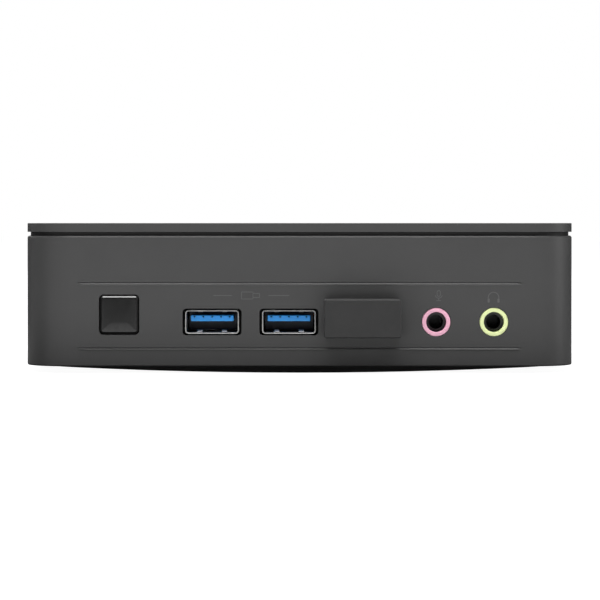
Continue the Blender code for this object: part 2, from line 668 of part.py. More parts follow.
def processor():
    low = BOARD_HIGH + GAP
    chip = block("processor", (FAN_X - 17.5 * MM, FAN_Y - 12 * MM, low),
                 (FAN_X + 17.5 * MM, FAN_Y + 12 * MM, low + 1.2 * MM))
    join(chip, block("processor_die", (FAN_X - 6 * MM, FAN_Y - 4.5 * MM, low + MM),
                     (FAN_X + 6 * MM, FAN_Y + 4.5 * MM, low + 1.9 * MM)))
    paint(BLACK_GLOSS, chip)


def cooler():
    """Cold plate, heat pipe and fin stack, and the blower in front of the fins."""
    low = BOARD_HIGH + 2.5 * MM
    plate = block("cold_plate", (FAN_X - 21 * MM, FAN_Y - 18 * MM, low),
                  (FAN_X + 21 * MM, FAN_Y + 18 * MM, low + 2.4 * MM), 3 * MM, steps=3)
    paint(COPPER, plate)
    heat_pipe(low + 2.4 * MM + GAP)
    fin_stack()
    blower()


def heat_pipe(floor):
    """A round pipe along the cold plate, then up and across under the fins."""
    radius = 1.5 * MM
    low, high = floor + radius, FIN_LOW - GAP - radius
    route = [(8, -14, low), (8, 20, low), (8.6, 25, low + 0.4 * MM), (10, 31, low + 2.2 * MM),
             (12.4, 37, high - 2.2 * MM), (15.5, 42, high - 0.4 * MM), (19.5, 46, high),
             (24, 48.4, high), (30, 49.2, high), (40, 49.2, high)]
    curve = bpy.data.curves.new("heat_pipe", "CURVE")
    curve.dimensions = "3D"
    curve.bevel_depth = radius
    curve.bevel_resolution = 2
    curve.use_fill_caps = True
    spline = curve.splines.new("POLY")
    spline.points.add(len(route) - 1)
    for point, (x, y, z) in zip(spline.points, route):
        point.co = (x * MM, y * MM, z, 1)
    pipe = bpy.data.objects.new("heat_pipe", curve)
    PARTS.objects.link(pipe)
    paint(COPPER, pipe)


def fin_stack():
    """A base plate with upright fins, set a hair inside the plate's outline."""
    high, front_y, back_y, base = 32.4 * MM, 42 * MM, 58 * MM, 0.8 * MM
    left, right = FIN_XS
    stack = block("fin_stack", (left, front_y, FIN_LOW), (right, back_y, FIN_LOW + base))
    fins, sheet, margin = 24, 0.5 * MM, 0.05 * MM
    step = (right - left - sheet - 2 * margin) / (fins - 1)
    lefts = [left + margin + i * step for i in range(fins)]
    join(stack, many("fins", [
        ((x, front_y + 2 * margin, FIN_LOW + base / 2), (x + sheet, back_y - 2 * margin, high))
        for x in lefts]))
    paint(ALUMINIUM, stack)


def blower():
    """Blower housing, its steel cover with the inlet hole, and the impeller."""
    left, right, front_y, back_y = -20 * MM, 42 * MM, -27 * MM, 41.6 * MM
    wall = 1.2 * MM
    housing = block("fan_housing", (left, front_y, FAN_LOW), (right, back_y, FAN_HIGH), 8 * MM, steps=4)
    hollow = block("fan_hollow", (left + wall, front_y + wall, FAN_LOW + 0.8 * MM),
                   (right - wall, back_y - 8 * MM, FAN_HIGH + MM), 7 * MM, steps=4)
    outlet = block("fan_outlet", (left + 5 * MM, 20 * MM, FAN_LOW + 0.8 * MM),
                   (right - 5 * MM, back_y + MM, FAN_HIGH + MM))
    cut(housing, hollow, outlet)
    paint(BLACK_PLASTIC, housing)

    low = FAN_HIGH + GAP
    cover = block("fan_cover", (left, front_y, low), (right, back_y, low + 0.5 * MM), 8 * MM, steps=4)
    cut(cover, rod("fan_inlet", (FAN_X, FAN_Y, low), 18.5 * MM, 4 * MM, steps=48))
    paint(STEEL, cover)
    impeller()


def impeller():
    """Hub and floor disc turned about the fan's axis, with thin curved blades standing on the disc."""
    low, high = FAN_LOW + 1.3 * MM, FAN_HIGH - 0.6 * MM
    disc_high = low + 0.8 * MM
    profile = [(0, high), (10 * MM, high), (11 * MM, high - MM), (11 * MM, disc_high),
               (FAN_RADIUS, disc_high), (FAN_RADIUS, low), (0, low)]
    profile = [(r, z - low) for r, z in profile]
    wheel = turned("fan_impeller", profile, (FAN_X, FAN_Y, low), steps=36)
    blades, points, sweep = 19, 4, radians(32)
    bm = bmesh.new()
    for b in range(blades):
        rows = []
        for p in range(points):
            t = p / (points - 1)
            radius = 14.5 * MM + t * (FAN_RADIUS - 15 * MM)
            angle = 2 * pi * b / blades + sweep * t ** 1.4
            x, y = radius * cos(angle), radius * sin(angle)
            rows.append((bm.verts.new((x, y, 0.4 * MM)), bm.verts.new((x, y, high - low))))
        for (a, b_up), (c, d_up) in zip(rows, rows[1:]):
            bm.faces.new((a, c, d_up, b_up))
    vanes = object_of("fan_blades", mesh_of("fan_blades", bm))
    solid = vanes.modifiers.new("sheet", "SOLIDIFY")
    solid.thickness = 0.6 * MM
    solid.offset = 0
    join(wheel, vanes)
    hang(wheel, empty("fan_axis", (FAN_X, FAN_Y, low)))
    paint(BLACK_PLASTIC, wheel)


def memory(name, x, socket_front):
    """A memory socket under the board and the module in it, lying towards the back."""
    half, high, low = 36.9 * MM, BOARD_LOW - GAP, 3.6 * MM
    socket = block(f"memory_socket_{name}", (x - half, socket_front, low),
                   (x + half, socket_front + 5.5 * MM, high))
    for side in (-1, 1):
        xs = sorted((x + side * half, x + side * (half - 1.5 * MM)))
        join(socket, block(f"{name}_arm_{side}", (xs[0], socket_front + 3 * MM, low + MM),
                           (xs[1], socket_front + 27 * MM, high)))
    board_low, board_high = 5.0 * MM, 6.0 * MM
    module_half = 34.8 * MM
    cut(socket, block(f"{name}_slot", (x - module_half - GAP, socket_front + 1.7 * MM, board_low - GAP),
                      (x + module_half + GAP, socket_front + 9 * MM, board_high + GAP)))
    front_y = socket_front + 2 * MM
    module = block(f"memory_module_{name}", (x - module_half, front_y, board_low),
                   (x + module_half, front_y + 30 * MM, board_high))
    chips = []
    for i in range(4):
        left = x - 31 * MM + i * 16.5 * MM
        for z0, z1 in ((board_low - MM, board_low + 0.2 * MM), (board_high - 0.2 * MM, board_high + MM)):
            chips.append(((left, front_y + 9 * MM, z0), (left + 12 * MM, front_y + 20 * MM, z1)))
    join(module, many(f"{name}_chips", chips))
    paint(BLACK_PLASTIC, socket)
    paint(BOARD_GREEN, module)


def card(name, low_xy, high_xy, z, chips):
    """A thin expansion card with chips on its underside."""
    thick = 0.8 * MM
    made = block(name, (*low_xy, z), (*high_xy, z + thick))
    join(made, many(f"{name}_chips", [
        ((*a, z - 1.2 * MM), (*b, z + 0.2 * MM)) for a, b in chips]))
    paint(BOARD_GREEN, made)
    return made


def storage():
    """The solid-state drive: its socket, the card and the screw at its far end."""
    x, z, front_y, back_y = SSD_X, 5.4 * MM, -36 * MM, 44 * MM
    ssd = card("ssd_module", (x - 11 * MM, front_y), (x + 11 * MM, back_y), z, [
        ((x - 9 * MM, -20 * MM), (x + 9 * MM, -4 * MM)),
        ((x - 9 * MM, 2 * MM), (x + 9 * MM, 18 * MM)),
        ((x - 6 * MM, 23 * MM), (x + 6 * MM, 33 * MM))])
    cut(ssd, rod("ssd_notch", (x, SSD_SCREW_Y, z), 1.9 * MM, 4 * MM, steps=20))
    socket = block("ssd_socket", (x - 11.5 * MM, front_y - 4 * MM, 4.2 * MM),
                   (x + 11.5 * MM, front_y + 3.5 * MM, BOARD_LOW - GAP))
    cut(socket, block("ssd_slot", (x - 11 * MM - GAP, front_y - GAP, z - GAP),
                      (x + 11 * MM + GAP, front_y + 6 * MM, z + 0.8 * MM + GAP)))
    paint(BLACK_PLASTIC, socket)
    head_low, head_high, tip, head, shank = 4.4 * MM, 5.1 * MM, 8.2 * MM, 2.7 * MM, 1.1 * MM
    profile = [(0, tip), (shank, tip), (shank, head_high), (head, head_high), (head, head_low), (0, head_low)]
    paint(STEEL, turned("ssd_screw", profile, (x, SSD_SCREW_Y, 0), steps=20))


def wireless():
    """The radio card under the board, two foil antennas and their thin leads."""
    z, left, right, front_y, back_y = 5.4 * MM, -50 * MM, -20 * MM, 33 * MM, 55 * MM
    card("wifi_module", (left, front_y), (right, back_y), z, [
        ((left + 6 * MM, front_y + 3 * MM), (right - 8 * MM, back_y - 3 * MM))])
    socket = block("wifi_socket", (right - 3.5 * MM, front_y - 0.5 * MM, 4.2 * MM),
                   (right + 4 * MM, back_y + 0.5 * MM, BOARD_LOW - GAP))
    cut(socket, block("wifi_slot", (right - 6 * MM, front_y - GAP, z - GAP),
                      (right + GAP, back_y + GAP, z + 0.8 * MM + GAP)))
    paint(BLACK_PLASTIC, socket)

    inner_x, inner_y = -WIDTH / 2 + WALL + GAP, FRONT + WALL + GAP
    side = block("antenna_side", (inner_x, -30 * MM, 21 * MM), (inner_x + 0.5 * MM, 0, 29 * MM))
    front = block("antenna_front", (-46 * MM, inner_y, 22.5 * MM), (-16 * MM, inner_y + 0.5 * MM, 30.5 * MM))
    paint(COPPER, side, front)
    rise = [(-50, 37, 7.1), (-54, 36.4, 6.9), (-57.5, 35.6, 7.4), (-59.4, 34.2, 9.6), (-60, 32, 13),
            (-60.2, 28, 17.5), (-60.4, 22, 20.6)]
    lead("antenna_lead_side", rise + [(-61, 12, 23), (-62.2, 3, 24.6), (-63.2, -2, 25), (-63.9, -5, 25)])
    rise = [(x, y + 5.5, z) for x, y, z in rise]
    lead("antenna_lead_front", rise + [
        (-58.4, 16, 23.4), (-58, 4, 25.6), (-57.6, -10, 27.0), (-57, -24, 27.3), (-55.4, -34, 27.3),
        (-51.5, -41.5, 27.3), (-46, -46.5, 27.3), (-41, -49, 27.3), (-38, -49.6, 27.3)])


def lead(name, route):
    """A thin coaxial lead through the given points, in millimetres."""
    curve = bpy.data.curves.new(name, "CURVE")
    curve.dimensions = "3D"
    curve.bevel_depth = 0.55 * MM
    curve.bevel_resolution = 1
    curve.use_fill_caps = True
    spline = curve.splines.new("POLY")
    spline.points.add(len(route) - 1)
    for point, place in zip(spline.points, route):
        point.co = (*(Vector(place) * MM), 1)
    made = bpy.data.objects.new(name, curve)
    PARTS.objects.link(made)
    paint(BLACK_PLASTIC, made)


def rtc_battery():
    """The coin cell that keeps the clock, lying on the board."""
    low, high, radius = BOARD_HIGH + GAP, BOARD_HIGH + 3.5 * MM, 10 * MM
    profile = [(0, high), (radius - 0.4 * MM, high), (radius, high - 0.4 * MM), (radius, low), (0, low)]
    paint(STEEL, turned("rtc_battery", profile, (-30 * MM, -20 * MM, 0), steps=32))


# ---------------------------------------------------------------- build

clear_scene()
PARTS = collection("mini_pc")
CUTTERS = collection("cutters")

GREY_PLASTIC = material("grey_plastic", (0.075, 0.075, 0.075), 0.55)
BLACK_PLASTIC = material("black_plastic", (0.012, 0.012, 0.012), 0.5)
BLACK_GLOSS = material("black_gloss", (0.01, 0.01, 0.01), 0.15)
BLACK_METAL = material("black_metal", (0.015, 0.015, 0.015), 0.45, 0.6)
RUBBER = material("rubber", (0.04, 0.04, 0.04), 0.7)
STEEL = material("steel", (0.6, 0.6, 0.6), 0.3, 1.0)
ALUMINIUM = material("aluminium", (0.7, 0.7, 0.72), 0.35, 1.0)
COPPER = material("copper", (0.8, 0.42, 0.25), 0.3, 1.0)
BOARD_GREEN = material("board_green", (0.01, 0.06, 0.03), 0.45)
USB_BLUE = material("usb_blue", (0.02, 0.2, 0.75), 0.4)
MIC_PINK = material("mic_pink", (0.8, 0.4, 0.55), 0.4)
PHONE_GREEN = material("phone_green", (0.7, 0.8, 0.35), 0.4)

case_shell()
top_lid()
upper_frame()
bottom_cover()
feet()
cover_screws()
rear_panel()
power_button()
dongle_cap()
usb_single("usb_left", USB_LEFT_X, PORT_Z, FRONT + 0.25 * MM, USB_BLUE)
usb_single("usb_right", USB_RIGHT_X, PORT_Z, FRONT + 0.25 * MM, USB_BLUE)
usb_single("usb_hidden", CAP_X, HIDDEN_USB_Z, FRONT + 2.7 * MM, BLACK_PLASTIC)
audio_jack("mic", JACK_XS[0], MIC_PINK)
audio_jack("headphone", JACK_XS[1], PHONE_GREEN)
usb_stack("usb_rear_fast", STACK_XS[0], USB_BLUE)
usb_stack("usb_rear_basic", STACK_XS[1], BLACK_PLASTIC)
flat_video_port("hdmi", HDMI_X, (15 * MM, 5.9 * MM), (14.1 * MM, 5.0 * MM), (10.6 * MM, 1.0 * MM),
                (1.3 * MM, 1.3 * MM))
flat_video_port("displayport", DISPLAY_X, (17 * MM, 5.9 * MM), (16.1 * MM, 5.0 * MM),
                (13.2 * MM, 1.0 * MM), (0, 1.6 * MM))
lan_port()
power_inlet()
motherboard()
processor()
cooler()
memory("front", -17 * MM, -36.5 * MM)
memory("rear", -17 * MM, -3 * MM)
storage()
wireless()
rtc_battery()
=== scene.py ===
"""The looks of the small desktop computer: fine meshes, materials, light and camera round its CAD frame.

Metres, +Z up, front towards -Y, as in the frame.
"""

from math import atan2, cos, pi, radians, sin

import bmesh
import bpy
from mathutils import Matrix, Vector

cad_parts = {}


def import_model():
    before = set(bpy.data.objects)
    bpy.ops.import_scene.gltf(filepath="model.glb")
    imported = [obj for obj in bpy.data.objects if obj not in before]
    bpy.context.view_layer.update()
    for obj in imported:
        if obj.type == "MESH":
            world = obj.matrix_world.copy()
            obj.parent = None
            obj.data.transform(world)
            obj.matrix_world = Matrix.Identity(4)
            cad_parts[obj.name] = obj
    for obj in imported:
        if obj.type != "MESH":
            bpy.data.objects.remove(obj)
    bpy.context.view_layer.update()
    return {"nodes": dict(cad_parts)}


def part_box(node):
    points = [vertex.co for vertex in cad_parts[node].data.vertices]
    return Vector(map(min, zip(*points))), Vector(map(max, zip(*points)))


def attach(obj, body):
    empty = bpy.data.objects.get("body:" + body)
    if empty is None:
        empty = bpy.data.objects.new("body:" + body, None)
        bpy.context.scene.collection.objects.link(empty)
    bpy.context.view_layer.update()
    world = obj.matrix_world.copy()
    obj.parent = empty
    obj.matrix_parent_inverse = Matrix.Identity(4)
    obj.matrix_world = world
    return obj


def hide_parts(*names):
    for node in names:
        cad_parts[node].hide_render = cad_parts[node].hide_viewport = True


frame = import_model()

MM = 0.001
SHARP = 35  # degrees: edges sharper than this stay crisp
SLIVER = 1e-7  # metres: edges shorter than this are dropped after a Boolean


# ---------------- places, read from the frame


def extent(node):
    """A node's lowest corner, its highest corner and its middle."""
    low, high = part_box(node)
    return low, high, (low + high) / 2


def centre(node):
    return extent(node)[2]


CASE_LOW, CASE_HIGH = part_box("case_shell")
LID_LOW, LID_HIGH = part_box("top_lid")
FRONT, BACK = CASE_LOW.y, CASE_HIGH.y
SIDE = CASE_HIGH.x
MIDDLE_Y = (FRONT + BACK) / 2
HALF_DEPTH = (BACK - FRONT) / 2
CORNER = 12 * MM
WALL = 2.4 * MM
THROUGH = WALL + MM  # how deep a cutter goes to pass through a wall
LID_UNDER = LID_HIGH.z - 2.18 * MM  # the lid's rim, above the dark neck
BOARD_LOW, BOARD_HIGH = 7.7 * MM, 9.3 * MM
LEDGE_YS = (-18 * MM, 26 * MM)
POST_LOW = 4.8 * MM
LINE_ZS = (22.1 * MM, 6.2 * MM)  # the two level lines across the front
FRONT_USBS = ("usb_left", "usb_right")
JACKS = ("mic", "headphone")


# ---------------- mesh helpers


def rounded(half_u, half_v, radius, steps=6):
    """Points round a rectangle with rounded corners, anticlockwise."""
    points = []
    for corner, (su, sv) in enumerate(((1, 1), (-1, 1), (-1, -1), (1, -1))):
        for i in range(steps + 1):
            a = (corner + i / steps) * pi / 2
            points.append((su * (half_u - radius) + radius * cos(a),
                           sv * (half_v - radius) + radius * sin(a)))
    return points


def circle(radius, steps=64):
    return [(radius * cos(2 * pi * i / steps), radius * sin(2 * pi * i / steps)) for i in range(steps)]


def skin(loops, ring=False):
    """A closed mesh through loops of equally many points, capped at both ends or joined as a ring."""
    bm = bmesh.new()
    rows = [[bm.verts.new(p) for p in loop] for loop in loops]
    pairs = list(zip(rows, rows[1:] + rows[:1])) if ring else list(zip(rows, rows[1:]))
    for low, high in pairs:
        for i in range(len(low)):
            j = (i + 1) % len(low)
            bm.faces.new((low[i], low[j], high[j], high[i]))
    if not ring:
        bm.faces.new(rows[0])
        bm.faces.new(rows[-1])
    bmesh.ops.recalc_face_normals(bm, faces=bm.faces[:])
    return bm


def facing(direction, at):
    """A map from (u, v, depth) to the frame, for a surface seen from `direction` with `at` on it."""
    at = Vector(at)
    axes = {"front": ((1, 0, 0), (0, 0, 1), (0, 1, 0)), "back": ((-1, 0, 0), (0, 0, 1), (0, -1, 0)),
            "right": ((0, 1, 0), (0, 0, 1), (-1, 0, 0)), "left": ((0, -1, 0), (0, 0, 1), (1, 0, 0)),
            "top": ((1, 0, 0), (0, 1, 0), (0, 0, -1)), "under": ((1, 0, 0), (0, -1, 0), (0, 0, 1))}
    across, up, inward = (Vector(a) for a in axes[direction])
    return lambda u, v, depth: at + across * u + up * v + inward * depth


def shifted(place, u, v):
    """The same map with its origin moved across the surface."""
    return lambda a, b, depth: place(u + a, v + b, depth)


def tunnel(place, shape, stations):
    """A solid through `shape(grow)` outlines: each station is (depth, grow)."""
    return skin([[place(u, v, depth) for u, v in shape(grow)] for depth, grow in stations])


def tube(place, shape, stations):
    """The same with the last station joined to the first: a ring with a wall."""
    return skin([[place(u, v, depth) for u, v in shape(grow)] for depth, grow in stations], ring=True)


def lip(radius, steps=3):
    """Stations that round the mouth of a cut: wide at the surface, nominal one radius down."""
    return [(radius * (1 - cos(a)), radius * (1 - sin(a)))
            for a in (pi / 2 * i / steps for i in range(1, steps + 1))]


def edge(radius, steps=3):
    """Stations that round the outer edge of a boss: narrow at its face, nominal one radius down."""
    return [(radius * (1 - sin(a)), -radius * (1 - cos(a)))
            for a in (pi / 2 * (1 - i / steps) for i in range(steps + 1))]


def box_of(half_u, half_v, corner, steps=6):
    """A rounded rectangle that can grow."""
    def shape(grow):
        return rounded(half_u + grow, half_v + grow, max(corner + grow, 0.02 * MM), steps)
    return shape


def round_of(radius, steps=64):
    return lambda grow: circle(radius + grow, steps)


def opening(place, shape, depth, radius=0.15 * MM):
    """A cutter with a rounded mouth, from in front of the surface to `depth`."""
    return tunnel(place, shape, [(-MM, radius)] + lip(radius) + [(depth, 0)])


def boss(place, shape, depth, radius=0.15 * MM):
    """A block with a rounded face edge, standing from depth 0 to `depth`."""
    return tunnel(place, shape, edge(radius) + [(depth, 0)])


def block(low, high, bevel=0.05 * MM, segments=2):
    """A box between two corners with rounded edges."""
    low, high = Vector(low), Vector(high)
    bm = bmesh.new()
    place = Matrix.Translation((low + high) / 2) @ Matrix.Diagonal((*(high - low), 1))
    bmesh.ops.create_cube(bm, size=1, matrix=place)
    bmesh.ops.bevel(bm, geom=bm.edges[:], offset=bevel, segments=segments, profile=0.5, affect="EDGES")
    return bm


def turned(place, profile, steps=64):
    """A body of revolution about the surface's normal, from a profile of (radius, depth) points."""
    least = 0.01 * MM  # a radius of nought becomes this, so that no point is doubled
    return skin([[place(*point, depth) for point in circle(max(radius, least), steps)]
                 for radius, depth in profile])


def ribbon(place, line, half_width, thickness):
    """A strip of sheet metal: its side view is a line of (v, depth) points, its width lies along u."""
    loops = []
    for i, (v, depth) in enumerate(line):
        before, after = line[max(i - 1, 0)], line[min(i + 1, len(line) - 1)]
        along = Vector((after[0] - before[0], after[1] - before[1])).normalized()
        nv, nd = -along.y * thickness / 2, along.x * thickness / 2
        loops.append([place(-half_width, v + nv, depth + nd), place(half_width, v + nv, depth + nd),
                      place(half_width, v - nv, depth - nd), place(-half_width, v - nv, depth - nd)])
    return skin(loops)


def merged(parts):
    """Several closed meshes in one."""
    bm = bmesh.new()
    for part in parts:
        mesh = bpy.data.meshes.new("part")
        part.to_mesh(mesh)
        part.free()
        bm.from_mesh(mesh)
        bpy.data.meshes.remove(mesh)
    return bm


def placed(name, bm):
    """An object in the scene with this mesh, which is used up."""
    mesh = bpy.data.meshes.new(name)
    bm.to_mesh(mesh)
    bm.free()
    obj = bpy.data.objects.new(name, mesh)
    bpy.context.scene.collection.objects.link(obj)
    return obj


def shaped(bm, tools, operation="DIFFERENCE"):
    """The mesh with the tools cut from it, or joined to it."""
    body = placed("work", bm)
    helpers = [placed("tool", tool) for tool in tools]
    for helper in helpers:
        change = body.modifiers.new("shape", "BOOLEAN")
        change.operation = operation
        change.object = helper
        change.solver = "EXACT"
    bpy.context.view_layer.update()
    done = bmesh.new()
    done.from_object(body, bpy.context.evaluated_depsgraph_get())
    for obj in (body, *helpers):
        mesh = obj.data
        bpy.data.objects.remove(obj)
        bpy.data.meshes.remove(mesh)
    bmesh.ops.dissolve_degenerate(done, dist=SLIVER, edges=done.edges[:])
    return done


def dress(obj, shade, second=None, where=None):
    """Smooth shading with crisp edges, in one shade. Faces for whose centre `where` holds take the second."""
    mesh = obj.data
    mesh.materials.clear()
    mesh.materials.append(shade)
    mesh.shade_smooth()
    mesh.set_sharp_from_angle(angle=radians(SHARP))
    if second:
        mesh.materials.append(second)
        for face in mesh.polygons:
            face.material_index = int(where(face.center))


def keep_flat(obj):
    """Large faces keep their own normal beside eased edges."""
    flat = obj.modifiers.new("flat_faces", "WEIGHTED_NORMAL")
    flat.keep_sharp = True


def piece(name, bm, shade, body="case", stands_for=(), second=None, where=None):
    """Puts a finished mesh in the scene, riding on a body, in one shade or two."""
    obj = placed(name, bm)
    dress(obj, shade, second, where)
    keep_flat(obj)
    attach(obj, body)
    if stands_for:
        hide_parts(*stands_for)


# ---------------- materials


class Shade:
    """A node material in the making. Object coordinates are the frame's metres."""

    def __init__(self, name, colour, roughness, metallic=0.0, **sockets):
        self.material = bpy.data.materials.new(name)
        self.material.use_nodes = True
        self.nodes = self.material.node_tree.nodes
        self.links = self.material.node_tree.links
        self.shader = self.nodes["Principled BSDF"]
        self.colour, self.roughness = colour, roughness
        self.shader.inputs["Base Color"].default_value = (*colour, 1)
        self.shader.inputs["Roughness"].default_value = roughness
        self.shader.inputs["Metallic"].default_value = metallic
        for socket, value in sockets.items():
            self.shader.inputs[socket.replace("_", " ")].default_value = value
        self.place = self.nodes.new("ShaderNodeTexCoord").outputs["Object"]
        self.normal = None

    def noise(self, size, stretch=(1, 1, 1), detail=3.0):
        """Noise whose features are about `size` metres, longer along axes with a small stretch value."""
        mapping = self.nodes.new("ShaderNodeMapping")
        mapping.inputs["Scale"].default_value = stretch
        self.links.new(self.place, mapping.inputs["Vector"])
        noise = self.nodes.new("ShaderNodeTexNoise")
        noise.inputs["Scale"].default_value = 1 / size
        noise.inputs["Detail"].default_value = detail
        self.links.new(mapping.outputs["Vector"], noise.inputs["Vector"])
        return noise.outputs["Fac"]

    def ranged(self, source, low, high, start=0.3, end=0.7):
        ranged = self.nodes.new("ShaderNodeMapRange")
        ranged.inputs["From Min"].default_value = start
        ranged.inputs["From Max"].default_value = end
        ranged.inputs["To Min"].default_value = low
        ranged.inputs["To Max"].default_value = high
        self.links.new(source, ranged.inputs["Value"])
        return ranged.outputs["Result"]

    def tint(self, source, other):
        """Varies the colour between its own and `other` by a 0 to 1 source."""
        ramp = self.nodes.new("ShaderNodeValToRGB")
        ramp.color_ramp.elements[0].position = 0.35
        ramp.color_ramp.elements[1].position = 0.65
        ramp.color_ramp.elements[0].color = (*self.colour, 1)
        ramp.color_ramp.elements[1].color = (*other, 1)
        self.links.new(source, ramp.inputs["Fac"])
        self.links.new(ramp.outputs["Color"], self.shader.inputs["Base Color"])
        return self

    def rough(self, source, spread):
        """Varies the roughness by plus and minus `spread`."""
        low, high = self.roughness - spread, self.roughness + spread
        self.links.new(self.ranged(source, low, high), self.shader.inputs["Roughness"])
        return self

    def bump(self, source, height, strength=1.0):
        bump = self.nodes.new("ShaderNodeBump")
        bump.inputs["Distance"].default_value = height
        bump.inputs["Strength"].default_value = strength
        self.links.new(source, bump.inputs["Height"])
        if self.normal:
            self.links.new(self.normal, bump.inputs["Normal"])
        self.normal = bump.outputs["Normal"]
        self.links.new(self.normal, self.shader.inputs["Normal"])
        return self


def scaled(colour, factor):
    return tuple(min(c * factor, 1) for c in colour)


def moulded(name, colour, roughness, grain=0.22 * MM, height=0.006 * MM, **sockets):
    """Moulded plastic: a fine spark-eroded grain, faint flow variation in colour and gloss."""
    made = Shade(name, colour, roughness, **sockets)
    made.tint(made.noise(9 * MM, detail=4), scaled(colour, 1.05))
    made.rough(made.noise(2.5 * MM), 0.025)
    made.bump(made.noise(grain, detail=2), height)
    return made.material


def polished(name, colour, roughness, **sockets):
    """Gloss plastic: hair-fine scuffs in the gloss and a very shallow ripple."""
    made = Shade(name, colour, roughness, **sockets)
    made.tint(made.noise(4 * MM), scaled(colour, 1.3))
    made.rough(made.noise(0.5 * MM, stretch=(1, 1, 0.15)), 0.03)
    made.bump(made.noise(3 * MM, detail=1), 0.002 * MM)
    return made.material


def plated(name, colour, roughness, along="x"):
    """Plated or rolled metal: fine lines along the sheet, and stains in the gloss."""
    stretch = {"x": (0.06, 1, 1), "y": (1, 0.06, 1), "z": (1, 1, 0.06)}[along]
    made = Shade(name, colour, roughness, 1.0)
    made.tint(made.noise(2 * MM), scaled(colour, 0.85))
    made.rough(made.noise(0.3 * MM, stretch), 0.07)
    made.bump(made.noise(0.12 * MM, stretch), 0.002 * MM)
    return made.material


def painted(name, colour, roughness, specular=0.5):
    """Powder-coated steel: a fine orange-peel with lighter specks in the gloss."""
    made = Shade(name, colour, roughness, Specular_IOR_Level=specular)
    made.tint(made.noise(0.35 * MM, detail=2), scaled(colour, 1.6))
    made.rough(made.noise(0.6 * MM), 0.06)
    made.bump(made.noise(0.3 * MM, detail=2), 0.012 * MM)
    return made.material


def soft(name, colour, roughness):
    """Rubber: matt, with a dusty bloom and a soft tooth."""
    made = Shade(name, colour, roughness, Sheen_Weight=0.04, Sheen_Roughness=0.5, Specular_IOR_Level=0.3)
    made.tint(made.noise(5 * MM, detail=5), scaled(colour, 1.15))
    made.rough(made.noise(1.5 * MM), 0.05)
    made.bump(made.noise(0.12 * MM, detail=2), 0.008 * MM)
    return made.material


def laminate(name, colour):
    """A circuit board: solder mask with tracks under it, seen as squared ridges."""
    made = Shade(name, colour, 0.38, Coat_Weight=0.3, Coat_Roughness=0.2)
    tracks = made.nodes.new("ShaderNodeTexBrick")
    tracks.inputs["Scale"].default_value = 420  # rows of tracks to a metre
    tracks.inputs["Mortar Size"].default_value = 0.03
    tracks.inputs["Color1"].default_value = (0.35, 0.35, 0.35, 1)
    tracks.inputs["Color2"].default_value = (0.5, 0.5, 0.5, 1)
    tracks.inputs["Mortar"].default_value = (1, 1, 1, 1)
    made.links.new(made.place, tracks.inputs["Vector"])
    made.tint(tracks.outputs["Fac"], scaled(colour, 2.2))
    made.rough(made.noise(3 * MM), 0.05)
    made.bump(tracks.outputs["Fac"], 0.02 * MM)
    return made.material


GREY = moulded("case_grey", (0.0485, 0.0485, 0.0485), 0.44, Specular_IOR_Level=0.25)
NECK = moulded("neck_black", (0.007, 0.007, 0.007), 0.55, Specular_IOR_Level=0.25)
COVER = painted("cover_paint", (0.006, 0.006, 0.006), 0.5, 0.2)
BLACK = moulded("moulded_black", (0.010, 0.010, 0.011), 0.45, grain=0.15 * MM)
# a lighter, more reflective copy of the key's black gloss, for its upper chamfer: a painted highlight
KEY_GLOSS_PAINTED_HIGHLIGHT = polished("button_gloss_painted_highlight", (0.014, 0.014, 0.014), 0.22, Specular_IOR_Level=0.75, Coat_Weight=0.3)
CHIP = moulded("chip_black", (0.02, 0.02, 0.021), 0.42, grain=0.1 * MM)
PAINT = painted("panel_paint", (0.016, 0.016, 0.017), 0.42)
RUBBER = soft("cap_rubber", (0.016, 0.016, 0.016), 0.55)
FOAM = soft("gasket_foam", (0.008, 0.008, 0.008), 0.8)
FOOT = soft("foot_rubber", (0.025, 0.025, 0.026), 0.75)
# a darker, less reflective copy of the key's black gloss, for the rest of its face: painted shade
KEY_GLOSS_PAINTED_SHADE = polished("button_gloss_painted_shade", (0.006, 0.006, 0.006), 0.22, Specular_IOR_Level=0.35)
STEEL = plated("plated_steel", (0.40, 0.40, 0.39), 0.34)
BRIGHT = plated("bright_nickel", (0.36, 0.36, 0.37), 0.4, along="y")
ALUMINIUM = plated("fin_aluminium", (0.72, 0.73, 0.75), 0.32, along="y")
COPPER = plated("copper", (0.78, 0.38, 0.22), 0.3, along="y")
GOLD = plated("contact_gold", (0.85, 0.62, 0.28), 0.22, along="y")
BOARD = laminate("solder_mask", (0.006, 0.035, 0.018))
BLUE = moulded("socket_blue", (0.015, 0.28, 0.75), 0.36, grain=0.1 * MM, height=0.003 * MM)
# the socket's blue made dark: painted shade for the insulator deep inside a socket, where the same blue
# plastic lies unlit
BLUE_PAINTED_SHADE = moulded("socket_blue_painted_shade", (0.004, 0.014, 0.04), 0.4, grain=0.1 * MM, height=0.003 * MM)
PINK = moulded("ring_pink", (0.77, 0.40, 0.52), 0.38, grain=0.1 * MM, height=0.003 * MM)
LIME = moulded("ring_lime", (0.69, 0.77, 0.38), 0.38, grain=0.1 * MM, height=0.003 * MM)
INK = moulded("mark_ink", (0.072, 0.072, 0.073), 0.55, grain=0.08 * MM, height=0.002 * MM)
LED_GREEN = polished("lamp_green", (0.10, 0.30, 0.08), 0.25, Transmission_Weight=0.3)
LED_AMBER = polished("lamp_amber", (0.60, 0.30, 0.05), 0.25, Transmission_Weight=0.3)


# ---------------- case


def case_loop(inset, z):
    """The case's outline at a height, moved in by `inset`."""
    outline = rounded(SIDE - inset, HALF_DEPTH - inset, CORNER - inset, 20)
    return [(x, MIDDLE_Y + y, z) for x, y in outline]


